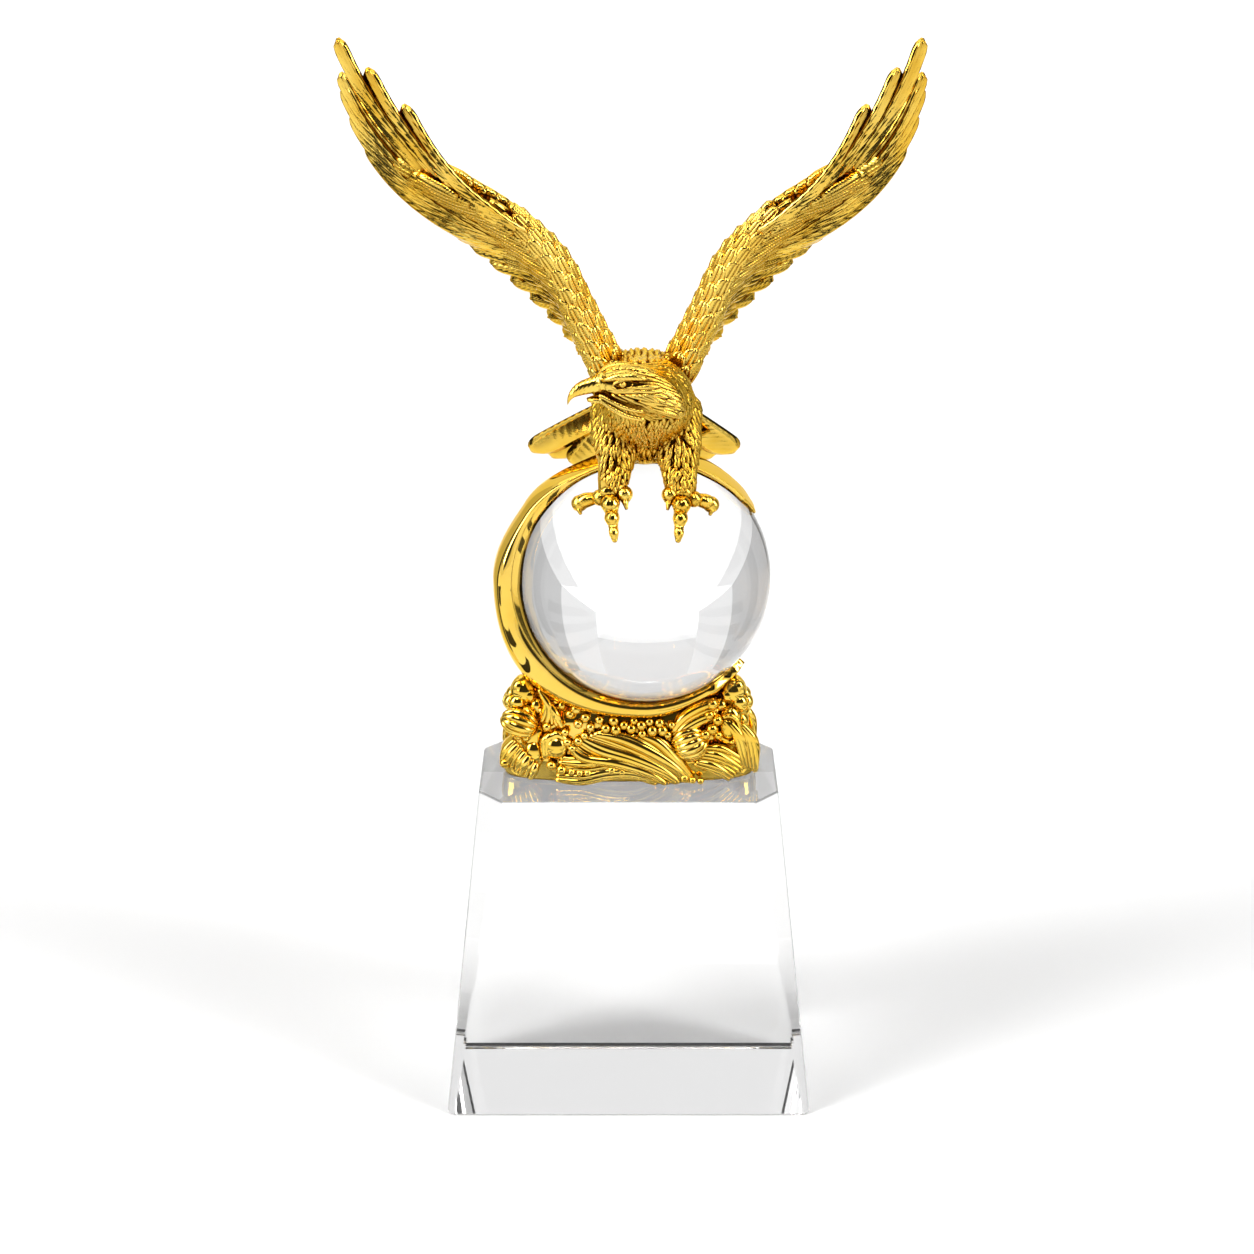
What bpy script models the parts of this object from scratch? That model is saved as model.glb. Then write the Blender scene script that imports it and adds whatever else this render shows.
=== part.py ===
"""Eagle award trophy: a gilt eagle perched on a crystal ball, held by a gilt crescent
on a casting of waves, standing on a tapered crystal block.

Metres, +Z up, front toward -Y. The origin is the middle of the block's underside.
"""

import math

import bmesh
import bpy
from mathutils import Matrix, Vector

MM = 0.001
FIT_GAP = 0.3 * MM

# Crystal block
BLOCK_HEIGHT = 114 * MM
BLOCK_TOP_WIDTH = 97 * MM
BLOCK_TOP_DEPTH = 49 * MM
BLOCK_BOTTOM_WIDTH = 122 * MM
BLOCK_BOTTOM_DEPTH = 64 * MM
BLOCK_TOP_CORNER_CUT = 8.2 * MM
BLOCK_BOTTOM_CORNER_CUT = 1.9 * MM
BLOCK_EDGE_BEVEL = 0.5 * MM

# Crystal ball, its centre to the right of the block's middle
BALL_RADIUS = 40 * MM
BALL_OFFSET = 5.3 * MM

# Crescent: one row for each station round the ball, counted from +X toward +Z
# angle, wall outside the ball, wall at the front ridge, half of the depth
CRESCENT_BOTTOM_WALL = 6.5 * MM
CRESCENT_STATIONS = (
    (32, 0.9 * MM, 0.7 * MM, 0.6 * MM),
    (35, 1.4 * MM, 1.2 * MM, 3.4 * MM),
    (43, 1.6 * MM, 1.4 * MM, 5.4 * MM),
    (66, 1.6 * MM, 1.4 * MM, 6.4 * MM),
    (115, 1.6 * MM, 1.2 * MM, 6.6 * MM),
    (148, 4.9 * MM, 2.9 * MM, 8.0 * MM),
    (180, 8.3 * MM, 4.2 * MM, 12.0 * MM),
    (220, 10.7 * MM, 2.0 * MM, 14.8 * MM),
    (270, CRESCENT_BOTTOM_WALL, 1.0 * MM, 13.4 * MM),
    (299, 5.3 * MM, 1.8 * MM, 9.0 * MM),
    (312, 4.4 * MM, 3.2 * MM, 3.6 * MM),
    (317, 3.9 * MM, 3.5 * MM, 0.5 * MM),
)
CRESCENT_LIP_SHARE = 0.92
CRESCENT_STEPS = 42

# Waves casting under the crescent; seat height is from the block to the crescent
WAVE_WIDTH = 84 * MM
WAVE_DEPTH = 23 * MM
SEAT_HEIGHT = 21.4 * MM
CRADLE_RISE = 3.0 * MM
ROCK_HEIGHT = 34 * MM
ROCK_SHARE = 0.402
WAVE_VOXEL = 0.7 * MM
WAVE_FACES = 2700

# Eagle: from the ball's top to the wing tips, with its middle line left of the ball's.
# Its pose and feathers are counted in parts of that height.
EAGLE_HEIGHT = 129.5 * MM
EAGLE_PARTS = 129.5
EAGLE_SHIFT = -0.7 * MM
EAGLE_VOXEL = 0.65 * MM
EAGLE_FACES = 4600
ANKLE_SIDE = 15.7
ANKLE_LEAN = 30.7
TOE_PARTS = 2.2
LEG_PARTS = 0.8
TAIL_PARTS = 47
TAIL_SPREAD = 43
TAIL_TURN = -8
TAIL_ROLL = -4
TAIL_DROOP = 49
TAIL_FEATHERS = 9
SECONDARIES = 10
RIGHT_WING_LEAN_IN = 0.095

BLOCK_TOP = BLOCK_HEIGHT
WAVE_BOTTOM = BLOCK_TOP + FIT_GAP
BALL_Z = WAVE_BOTTOM + SEAT_HEIGHT + CRESCENT_BOTTOM_WALL + FIT_GAP + BALL_RADIUS
BALL_CENTRE = Vector((BALL_OFFSET, 0, BALL_Z))
EAGLE_X = BALL_OFFSET + EAGLE_SHIFT
EAGLE_PART = EAGLE_HEIGHT / EAGLE_PARTS


def clear_scene():
    for thing in list(bpy.data.objects):
        bpy.data.objects.remove(thing, do_unlink=True)


def material(name, colour, metallic, roughness, transmission=0.0, ior=1.5):
    made = bpy.data.materials.new(name)
    made.use_nodes = True
    shader = made.node_tree.nodes["Principled BSDF"]
    shader.inputs["Base Color"].default_value = (*colour, 1)
    shader.inputs["Metallic"].default_value = metallic
    shader.inputs["Roughness"].default_value = roughness
    shader.inputs["Transmission Weight"].default_value = transmission
    shader.inputs["IOR"].default_value = ior
    return made


def object_of(name, bm, slot, smooth=True):
    """Turns a bmesh into a linked object with faces out."""
    bmesh.ops.recalc_face_normals(bm, faces=bm.faces)
    mesh = bpy.data.meshes.new(name)
    bm.to_mesh(mesh)
    bm.free()
    if slot:
        mesh.materials.append(slot)
    for face in mesh.polygons:
        face.use_smooth = smooth
    made = bpy.data.objects.new(name, mesh)
    bpy.context.scene.collection.objects.link(made)
    return made


def cutter_of(name, bm):
    made = object_of(name, bm, None)
    made.hide_render = True
    made.display_type = "WIRE"
    return made


def cut(target, tool):
    boolean = target.modifiers.new("cut_" + tool.name, "BOOLEAN")
    boolean.operation = "DIFFERENCE"
    boolean.solver = "EXACT"
    boolean.object = tool


def fuse(target, voxel, faces):
    """Fuses overlapping shells into one skin with about the given count of faces."""
    remesh = target.modifiers.new("fuse", "REMESH")
    remesh.mode = "VOXEL"
    remesh.voxel_size = voxel
    graph = bpy.context.evaluated_depsgraph_get()
    fine = len(target.evaluated_get(graph).data.polygons) * 2
    decimate = target.modifiers.new("thin_out", "DECIMATE")
    decimate.ratio = min(1.0, faces / fine)
    decimate.use_collapse_triangulate = True


def smooth_curve(points, steps):
    """Catmull-Rom curve through the points, steps pieces for each span."""
    ends = [points[0] * 2 - points[1], *points, points[-1] * 2 - points[-2]]
    found = []
    for a, b, c, d in zip(ends, ends[1:], ends[2:], ends[3:]):
        for i in range(steps):
            t = i / steps
            found.append(
                0.5 * ((2 * b) + (c - a) * t + (2 * a - 5 * b + 4 * c - d) * t * t
                       + (3 * b - a - 3 * c + d) * t ** 3)
            )
    return found + [points[-1]]


def blend(rows, at):
    """Smooth values between rows of (position, value, value...)."""
    at = min(max(at, rows[0][0]), rows[-1][0])
    for low, high in zip(rows, rows[1:]):
        if at <= high[0]:
            t = (at - low[0]) / (high[0] - low[0])
            t = t * t * (3 - 2 * t)
            return [a + (b - a) * t for a, b in zip(low[1:], high[1:])]
    return list(rows[-1][1:])


def skin(bm, rings):
    """Joins rings of points into one closed shell."""
    loops = [[bm.verts.new(point) for point in ring] for ring in rings]
    for lower, upper in zip(loops, loops[1:]):
        count = len(lower)
        for i in range(count):
            j = (i + 1) % count
            bm.faces.new((lower[i], lower[j], upper[j], upper[i]))
    bm.faces.new(loops[0][::-1])
    bm.faces.new(loops[-1])


def frames(path, facing):
    """For each point of a path: its side and face directions, square to the path."""
    last = len(path) - 1
    for i, point in enumerate(path):
        along = (path[min(i + 1, last)] - path[max(i - 1, 0)]).normalized()
        side = along.cross(facing).normalized()
        yield point, side, side.cross(along).normalized()


def bar(bm, path, radii, facing, sides=8, squash=1.0):
    """A tapering bar along the path; squash is its thickness over its width."""
    rings = []
    for (point, side, face), radius in zip(frames(path, facing), radii):
        rings.append([
            point + side * math.cos(turn) * radius + face * math.sin(turn) * radius * squash
            for turn in (2 * math.pi * k / sides for k in range(sides))
        ])
    skin(bm, rings)


def blob(bm, centre, radii, turns=10, rows=7):
    """A closed egg of the given three radii."""
    rings = []
    for i in range(rows):
        lift = math.pi * (i + 0.35) / (rows - 0.3)
        rings.append([
            centre + Vector((
                radii[0] * math.sin(lift) * math.cos(2 * math.pi * k / turns),
                radii[1] * math.sin(lift) * math.sin(2 * math.pi * k / turns),
                radii[2] * math.cos(lift),
            ))
            for k in range(turns)
        ])
    skin(bm, rings)


def bend(root, through, tip, steps=7):
    """Points of a curve that leaves the root toward one point and reaches the tip from it."""
    return [
        root * (1 - t) ** 2 + through * 2 * t * (1 - t) + tip * t ** 2
        for t in (i / steps for i in range(steps + 1))
    ]


def feather(bm, path, width, facing, thickness=1.7):
    """A cambered blade along the path, with a raised shaft and a rounded tip."""
    rings = []
    last = len(path) - 1
    thick = thickness / 2 * EAGLE_PART
    round_share = min(0.55, 0.62 * width * EAGLE_PART / (path[-1] - path[0]).length)
    for i, (point, side, face) in enumerate(frames(path, facing)):
        t = i / last
        past = max(0, (t - 1 + round_share) / round_share)
        swell = min(1.0, 0.55 + 1.6 * t) * math.sqrt(max(0.08, 1 - past * past))
        half = width / 2 * EAGLE_PART * swell
        rings.append([
            point + side * half,
            point + side * half * 0.5 + face * thick * 0.8,
            point + face * thick * 1.3,
            point - side * half * 0.5 + face * thick * 0.8,
            point - side * half,
            point - side * half * 0.5 - face * thick,
            point - face * thick,
            point + side * half * 0.5 - face * thick,
        ])
    skin(bm, rings)


def octagon(width, depth, corner, z):
    """A rectangle with its four corners cut, counted round."""
    x = width / 2
    y = depth / 2
    return [
        (-x + corner, -y, z), (x - corner, -y, z), (x, -y + corner, z), (x, y - corner, z),
        (x - corner, y, z), (-x + corner, y, z), (-x, y - corner, z), (-x, -y + corner, z),
    ]


def crystal_base(slot):
    bm = bmesh.new()
    skin(bm, [
        octagon(BLOCK_BOTTOM_WIDTH, BLOCK_BOTTOM_DEPTH, BLOCK_BOTTOM_CORNER_CUT, 0),
        octagon(BLOCK_TOP_WIDTH, BLOCK_TOP_DEPTH, BLOCK_TOP_CORNER_CUT, BLOCK_HEIGHT),
    ])
    block = object_of("crystal_base", bm, slot, smooth=False)
    edge = block.modifiers.new("ground_edges", "BEVEL")
    edge.width = BLOCK_EDGE_BEVEL
    edge.segments = 1
    edge.limit_method = "ANGLE"
    edge.angle_limit = math.radians(20)
    return block


def ball_shell(bm, radius):
    bmesh.ops.create_uvsphere(bm, u_segments=28, v_segments=16, radius=radius)
    bmesh.ops.translate(bm, verts=bm.verts, vec=BALL_CENTRE)


def crystal_ball(slot):
    bm = bmesh.new()
    ball_shell(bm, BALL_RADIUS)
    return object_of("crystal_ball", bm, slot)


def crescent_ring(angle, grow):
    """The crescent's outline at one angle: seat on the ball, flared lip, ridge, rounded back."""
    wall, ridge_wall, half = blend(CRESCENT_STATIONS, angle)
    seat = BALL_RADIUS + FIT_GAP - grow
    lip = half * CRESCENT_LIP_SHARE
    ridge = BALL_RADIUS + FIT_GAP + ridge_wall + grow * 0.5
    outer = BALL_RADIUS + FIT_GAP + wall + grow
    half += grow
    outline = []
    for i in range(5):
        y = lip * (i / 2 - 1)
        outline.append((math.sqrt(seat * seat - y * y), y))
    for turn in (0, 22, 45, 68, 90, 112, 135, 158, 180):
        swing = math.radians(turn)
        rise = math.sin(swing) ** 0.8
        outline.append((ridge + (outer - ridge) * rise, half * math.cos(swing)))
    out = Vector((math.cos(math.radians(angle)), 0, math.sin(math.radians(angle))))
    return [BALL_CENTRE + out * radius + Vector((0, y, 0)) for radius, y in outline]


def crescent_shell(bm, grow=0.0):
    first = CRESCENT_STATIONS[0][0]
    last = CRESCENT_STATIONS[-1][0]
    rings = []
    for i in range(CRESCENT_STEPS + 1):
        rings.append(crescent_ring(first + (last - first) * i / CRESCENT_STEPS, grow))
    skin(bm, rings)


def crescent(slot):
    bm = bmesh.new()
    crescent_shell(bm)
    return object_of("crescent", bm, slot)


def wave_outline(width, depth, z, count=28):
    """A rounded oblong at one height."""
    ring = []
    for k in range(count):
        turn = 2 * math.pi * k / count
        c = math.cos(turn)
        s = math.sin(turn)
        ring.append(Vector((
            width / 2 * math.copysign(abs(c) ** 0.7, c),
            depth / 2 * math.copysign(abs(s) ** 0.7, s),
            z,
        )))
    return ring


def wave_face(x, rise, face):
    """A point on one face of the casting: x, then height as a share of the seat height."""
    bulge = 1 - 0.22 * abs(2 * x / WAVE_WIDTH) ** 4
    slope = 0.86 + 0.14 * math.cos(math.pi * 0.5 * rise)
    return Vector((x, face * WAVE_DEPTH / 2 * bulge * slope, WAVE_BOTTOM + SEAT_HEIGHT * rise))


def wave_swell(bm, face, start, finish, lift, thickness):
    """A tapering roll of water across one face, from start to finish as shares of the casting."""
    path = []
    radii = []
    for i in range(10):
        t = i / 9
        x = WAVE_WIDTH / 2 * (start[0] + (finish[0] - start[0]) * t)
        rise = start[1] + (finish[1] - start[1]) * t + lift * math.sin(math.pi * t)
        path.append(wave_face(x, rise, face))
        radii.append(WAVE_DEPTH * thickness * (0.35 + 0.65 * math.sin(math.pi * (0.12 + 0.8 * t))))
    bar(bm, path, radii, Vector((0, face, 0.2)), sides=6)


def wave_curl(bm, face, x, rise, size, turn):
    """A breaking crest that rolls in on itself, on one face; size is a share of the seat height."""
    centre = wave_face(WAVE_WIDTH / 2 * x, rise, face) - Vector((0, face * 0.04 * WAVE_DEPTH, 0))
    path = []
    radii = []
    for i in range(13):
        t = i / 12
        angle = math.radians(200 - 430 * t)
        reach = SEAT_HEIGHT * size * (1 - 0.78 * t)
        path.append(centre + Vector((
            turn * reach * math.cos(angle), face * 0.06 * WAVE_DEPTH * t, reach * math.sin(angle)
        )))
        radii.append(SEAT_HEIGHT * size * (0.40 - 0.16 * t))
    bar(bm, path, radii, Vector((0, face, 0)), sides=7)
    blob(bm, centre, [SEAT_HEIGHT * size * 0.8] * 3)


def rock_stack(bm, side):
    """Boulders piled at one end of the casting, beside the crescent."""
    part = ROCK_HEIGHT / 34
    x = side * ROCK_SHARE * WAVE_WIDTH
    top = WAVE_BOTTOM + ROCK_HEIGHT

    def boulder(outward, back, down, radii):
        blob(bm, Vector((x + side * outward * part, back * part, top - down * part)), [r * part for r in radii])

    boulder(-3, 0, 19.5, (7.5, 9, 9))
    boulder(0, -1.5, 5.2, (4.7, 5, 5.4))
    boulder(-3.6, 2, 8, (4, 5, 4.5))
    boulder(3.4, 0.5, 12, (4.6, 5.6, 5))
    boulder(-1, -5, 13, (4.2, 3.6, 4.4))


def wave_base(slot, seat):
    bm = bmesh.new()
    rim = SEAT_HEIGHT + CRADLE_RISE
    skin(bm, [
        wave_outline(WAVE_WIDTH * wide, WAVE_DEPTH * deep, WAVE_BOTTOM + rim * high)
        for high, wide, deep in (
            (-0.12, 0.95, 0.82), (0.08, 0.99, 0.88), (0.3, 1.0, 0.88), (0.55, 0.97, 0.86),
            (0.8, 0.92, 0.84), (1.0, 0.78, 0.78),
        )
    ])
    for face in (-1, 1):
        # long swells that fan from upper left to lower right
        for i in range(5):
            wave_swell(bm, face, (-0.40 + 0.05 * i, 0.84 - 0.15 * i), (0.44 + 0.09 * i, 0.60 - 0.13 * i),
                       -0.20 + 0.03 * i, 0.085)
        # a fan at the right end and slanting ridges at the left end
        for i in range(4):
            wave_swell(bm, face, (0.60 + 0.03 * i, 1.0), (0.68 + 0.09 * i, 0.10 + 0.08 * i), 0.0, 0.08)
            wave_swell(bm, face, (-0.97 + 0.09 * i, 0.14 + 0.02 * i), (-0.76 + 0.08 * i, 0.74), 0.06, 0.08)
        wave_curl(bm, face, -0.56, 0.78, 0.24, 1)
        wave_curl(bm, face, -0.86, 0.86, 0.20, -1)
        wave_curl(bm, face, 0.34, 0.74, 0.27, -1)
        # drops along the crest
        for i in range(10):
            x = WAVE_WIDTH / 2 * (-0.46 + 0.1 * i)
            drop = wave_face(x, 0.96 + 0.05 * math.sin(2.1 * i), face * 0.9)
            blob(bm, drop, [WAVE_DEPTH * 0.085] * 3, 7, 5)
        # swelling water that joins the boulders to the crest
        for side in (-1, 1):
            blob(bm, wave_face(side * 0.34 * WAVE_WIDTH, 0.9, face * 0.65), [WAVE_DEPTH * 0.25] * 3)
    rock_stack(bm, -1)
    rock_stack(bm, 1)
    casting = object_of("wave_base", bm, slot)
    fuse(casting, WAVE_VOXEL, WAVE_FACES)
    ground = bmesh.new()
    skin(ground, [
        wave_outline(WAVE_WIDTH * 1.3, WAVE_DEPTH * 1.6, WAVE_BOTTOM - deep * SEAT_HEIGHT, 8)
        for deep in (0.4, 0)
    ])
    cut(casting, cutter_of("cut_flat_foot", ground))
    cut(casting, seat)
    return casting


def on_ball(side, lean, height=0.0):
    """A point over the ball: side and lean are angles from its top, to +X and to the front."""
    across = math.radians(side)
    forward = math.radians(lean)
    out = Vector((math.sin(across), -math.cos(across) * math.sin(forward), math.cos(across) * math.cos(forward)))
    return BALL_CENTRE + Vector((EAGLE_SHIFT, 0, 0)) + out * (BALL_RADIUS + height)


def eagle_point(x, y, z):
    """A place on the eagle in its own parts: across from its middle line, back, above the ball."""
    return Vector((EAGLE_X, 0, BALL_Z + BALL_RADIUS)) + Vector((x, y, z)) * EAGLE_PART


def toe(bm, ankle, tip, thickness):
    """A knuckled toe that grips the ball, ending in a claw."""
    path = []
    radii = []
    for i in range(11):
        t = i / 10
        side = ankle[0] + (tip[0] - ankle[0]) * t
        lean = ankle[1] + (tip[1] - ankle[1]) * t
        knuckle = 1 + 0.2 * math.cos(2 * math.pi * 2.5 * t)
        thick = thickness * EAGLE_PART * knuckle * (1 - 0.62 * t ** 1.4)
        path.append(on_ball(side, lean, FIT_GAP + thick * 0.8))
        radii.append(thick)
    bar(bm, path, radii, (path[0] - BALL_CENTRE).normalized(), sides=8)


def leg(bm, side):
    """Thigh, shank and gripping foot on one side (-1 left, 1 right)."""
    ankle = (side * ANKLE_SIDE + LEG_PARTS, ANKLE_LEAN)
    path = smooth_curve([
        eagle_point(LEG_PARTS + side * 8.0, -9, 20), eagle_point(LEG_PARTS + side * 9.2, -14.5, 10),
        eagle_point(LEG_PARTS + side * 10.0, -18.3, 2), on_ball(*ankle, 2.4 * EAGLE_PART),
    ], 3)
    last = len(path) - 1
    widths = ((0, 8.4), (0.35, 6.9), (0.62, 5.1), (0.8, 4.6), (1, 3.9))
    radii = [blend(widths, i / last)[0] * EAGLE_PART for i in range(last + 1)]
    bar(bm, path, radii, Vector((0, -1, 0)), sides=10)
    # paired knuckles over the toes
    for turn in (-1, 1):
        blob(bm, on_ball(ankle[0] + 4.2 * turn, ankle[1] + 1.6, 3 * EAGLE_PART), [2.6 * EAGLE_PART] * 3, 8, 6)
    toe(bm, ankle, (ankle[0] - side * 1, 53), TOE_PARTS * 1.2)
    outer = (ankle[0] + side * 12, 32)
    toe(bm, ankle, outer, TOE_PARTS * 1.2)
    blob(bm, on_ball(*outer, 1.9 * EAGLE_PART), [1.9 * EAGLE_PART] * 3, 8, 6)
    toe(bm, ankle, (ankle[0] - side * 8.5, 34.5), TOE_PARTS)
    toe(bm, ankle, (ankle[0], 12), TOE_PARTS)


def body(bm):
    """Torso from rump to chest, then the neck to the back of the head."""
    spine = smooth_curve([
        eagle_point(0, 20, 10), eagle_point(0, 10, 15), eagle_point(0, -1, 20),
        eagle_point(0.4, -11, 21), eagle_point(1.5, -20, 25), eagle_point(0.8, -28, 30.5),
        eagle_point(-2.5, -34, 34.5),
    ], 3)
    last = len(spine) - 1
    widths = ((0, 5), (0.12, 9.5), (0.34, 14.4), (0.52, 14.6), (0.68, 13), (0.84, 10.6), (1, 7.6))
    radii = [blend(widths, i / last)[0] * EAGLE_PART for i in range(last + 1)]
    bar(bm, spine, radii, Vector((0, -0.4, 1)), sides=14, squash=0.94)
    # belly, down to the ball
    blob(bm, eagle_point(0.5, -7, 9.5), [r * EAGLE_PART for r in (9.6, 12, 8)], 12, 8)
    # mantle between the shoulders
    blob(bm, eagle_point(0, -1.5, 23.5), [r * EAGLE_PART for r in (15.5, 12, 11.8)], 12, 8)
    # tufts that hang over the breast and thighs
    for row in range(5):
        for i in range(5):
            across = -12 + 6 * i + 3 * (row % 2)
            front = -31 + 3.4 * row + 0.035 * across * across
            root = eagle_point(across, front, 27 - 4.6 * row)
            tip = root + Vector((0.6, 1.2, -7.5)) * EAGLE_PART
            feather(bm, bend(root, (root + tip) / 2, tip, 4), 5.4, Vector((across * 0.05, -1, -0.3)), 2.6)


def head(bm):
    """Skull turned to the left, brow ridges and a hooked beak."""
    blob(bm, eagle_point(-4.2, -35, 33.9), [r * EAGLE_PART for r in (8.0, 7.0, 5.9)], 14, 9)
    beak = smooth_curve([
        eagle_point(-7.5, -37, 34.6), eagle_point(-13.5, -38.5, 34.9), eagle_point(-17.8, -39.5, 34.2),
        eagle_point(-21.2, -40.2, 32.6), eagle_point(-22.7, -40.4, 30.2),
    ], 3)
    last = len(beak) - 1
    widths = ((0, 4.2), (0.35, 3.3), (0.65, 2.3), (0.88, 1.1), (1, 0.4))
    bar(bm, beak, [blend(widths, i / last)[0] * EAGLE_PART for i in range(last + 1)], Vector((0, 0, 1)), 8)
    jaw = [eagle_point(-3, -37, 29.2), eagle_point(-7.5, -38.4, 29.8), eagle_point(-12, -39.2, 30.5),
           eagle_point(-16.4, -39.8, 30.9)]
    bar(bm, jaw, [r * EAGLE_PART for r in (4.0, 3.1, 1.9, 0.8)], Vector((0, 0, 1)), 8, 0.8)
    brow = [eagle_point(-11, -41.6, 36.6), eagle_point(-6.5, -42.2, 38), eagle_point(-0.5, -41, 37.4)]
    bar(bm, brow, [r * EAGLE_PART for r in (0.9, 1.2, 0.7)], Vector((0, -1, 0)), 6)
    # locks swept back along the neck
    for row in range(4):
        for i in range(6):
            around = math.radians(-95 + 44 * i + 16 * (row % 2))
            across = math.cos(around)
            over = math.sin(around)
            size = 6.6 + 1.2 * row
            root = eagle_point(-2 + 3.2 * row, -35 + 2.6 * row - size * across, 33.4 - 1.9 * row + size * 0.85 * over)
            tip = root + Vector((5.5, 3.2, -4.0)) * EAGLE_PART
            feather(bm, bend(root, (root + tip) / 2, tip, 4), 4.4, Vector((0.2, -across, over)), 2.2)


def tail(bm):
    """A fan of broad feathers behind the legs."""
    root = eagle_point(0, 13, 17)
    droop = math.radians(TAIL_DROOP)
    roll = Matrix.Rotation(math.radians(TAIL_ROLL), 3, "Y")
    normal = roll @ Vector((0, math.sin(droop), math.cos(droop)))
    for i in range(TAIL_FEATHERS):
        share = 2 * i / (TAIL_FEATHERS - 1) - 1
        spread = math.radians(TAIL_TURN + TAIL_SPREAD * share)
        back = math.cos(spread)
        flow = roll @ Vector((math.sin(spread), back * math.cos(droop), -back * math.sin(droop)))
        lift = normal * (0.5 * (1 if i % 2 else -1) - abs(share) * 0.5) * EAGLE_PART
        near = root + flow * 4 * EAGLE_PART + lift
        far = root + flow * TAIL_PARTS * EAGLE_PART + lift
        feather(bm, bend(near, (near + far) / 2 + normal * 1.2 * EAGLE_PART, far), 13.5, normal)


def wing(bm, side, lean_in):
    """Arm, web, long curved primaries, secondaries and rows of coverts."""
    def place(across, back, above):
        return eagle_point(side * across * (1 - lean_in * (above / EAGLE_PARTS) ** 1.5), back, above)

    arm = smooth_curve([
        place(6, -1, 20), place(12, -3, 34), place(17.8, -5, 47), place(24, -6.5, 60.5), place(32, -8, 71),
        place(43, -8, 80), place(56, -8, 88), place(65.5, -7, 99),
    ], 4)
    trail = smooth_curve([
        place(12, 10, 16), place(18.8, 14, 28), place(33.4, 16, 45.5), place(52, 17, 62.3), place(68, 15, 76.5),
        place(83.6, 9, 97.5), place(90, 6, 114.5),
    ], 4)
    front = Vector((side * 0.45, -0.75, -0.35)).normalized()

    def on_curve(curve, share):
        low = min(int(share * (len(curve) - 1)), len(curve) - 2)
        return curve[low].lerp(curve[low + 1], share * (len(curve) - 1) - low)

    widths = ((0, 7.5), (0.17, 6.0), (0.42, 4.8), (0.66, 3.8), (0.83, 2.6), (1, 1.8))
    last = len(arm) - 1
    radii = [blend(widths, i / last)[0] * EAGLE_PART for i in range(last + 1)]
    bar(bm, arm, radii, front, sides=8, squash=0.9)

    # a thin web that carries the feathers, inside their tips
    rings = []
    for i in range(11):
        near = on_curve(arm, i / 10)
        far = on_curve(trail, 0.88 * i / 10)
        far = far + (near - far).normalized() * 4 * EAGLE_PART
        middle = (near + far) / 2 - front * 1.5 * EAGLE_PART
        thick = front * 1.2 * EAGLE_PART
        rings.append([near + thick, middle + thick, far + thick, far - thick, middle - thick, near - thick])
    skin(bm, rings)

    # primaries, front to back: root, point they curve round, tip, width
    for root, through, tip, width in (
        ((38, -9, 74), (60, -9, 83), (69.4, -6, 109.5), 6.8),
        ((40, -8, 73), (68.5, -8, 93), (80.3, -3, 121), 7.6),
        ((41, -6, 72), (76, -5, 95), (88.2, -2, 129), 8.2),
        ((42, -4, 71), (77.5, -1, 90), (89.3, 4, 118), 8.4),
        ((42, -3, 69.5), (79, 1, 86), (89.3, 6, 113.5), 9.0),
        ((41, -1, 67.5), (75, 4, 78), (85.8, 8, 103), 9.0),
        ((40, 0, 66), (72, 5, 75), (83.5, 9, 96.5), 9.8),
        ((38, 2, 64.5), (65, 7, 72), (76, 11, 85), 9.6),
        ((36, 4, 62.5), (56.5, 9, 68), (67.6, 13.5, 76.5), 9.4),
    ):
        path = bend(place(*root), place(*through), place(*tip), 9)
        feather(bm, path, width, front, 1.9)

    # secondaries from the arm to the trailing edge
    for i in range(SECONDARIES):
        t = i / (SECONDARIES - 1)
        root = on_curve(arm, 0.12 + 0.38 * t)
        tip = on_curve(trail, 0.13 + 0.49 * t)
        feather(bm, bend(root, (root + tip) / 2 - front * 2.4 * EAGLE_PART, tip), 9.6, front, 1.9)

    # coverts: two rows in front and one behind
    for length, size, lift in ((0.66, 8.4, 1.2), (0.36, 7.4, 2.4), (0.6, 8.4, -2.2)):
        for i in range(11):
            t = (i + 0.5 * (size > 8)) / 11
            root = on_curve(arm, 0.2 + 0.62 * t) + front * lift * EAGLE_PART
            far = on_curve(trail, 0.19 + 0.53 * t)
            tip = root.lerp(far, length)
            feather(bm, bend(root, (root + tip) / 2 + front * 0.5 * EAGLE_PART, tip, 5), size, front, 1.9)


def eagle(slot, tools):
    bm = bmesh.new()
    body(bm)
    head(bm)
    tail(bm)
    leg(bm, -1)
    leg(bm, 1)
    wing(bm, -1, 0)
    wing(bm, 1, RIGHT_WING_LEAN_IN)
    bird = object_of("eagle", bm, slot)
    fuse(bird, EAGLE_VOXEL, EAGLE_FACES)
    for tool in tools:
        cut(bird, tool)
    return bird


def main():
    clear_scene()
    crystal = material("clear_crystal", (1.0, 1.0, 1.0), 0.0, 0.02, 1.0, 1.52)
    gilt = material("gilt_metal", (0.95, 0.62, 0.13), 1.0, 0.18)
    polished = material("polished_gilt", (0.96, 0.63, 0.12), 1.0, 0.06)

    around_crescent = bmesh.new()
    crescent_shell(around_crescent, FIT_GAP)
    crescent_room = cutter_of("cut_crescent_room", around_crescent)
    around_ball = bmesh.new()
    ball_shell(around_ball, BALL_RADIUS + FIT_GAP)
    ball_room = cutter_of("cut_ball_room", around_ball)

    crystal_base(crystal)
    wave_base(gilt, crescent_room)
    crescent(polished)
    crystal_ball(crystal)
    eagle(gilt, (ball_room, crescent_room))


main()
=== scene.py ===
"""Looks of the eagle award trophy: fine castings, polished crescent, crystal ball and block."""
import math
import random

import bmesh
import bpy
from mathutils import Matrix, Vector
from mathutils.bvhtree import BVHTree


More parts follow.
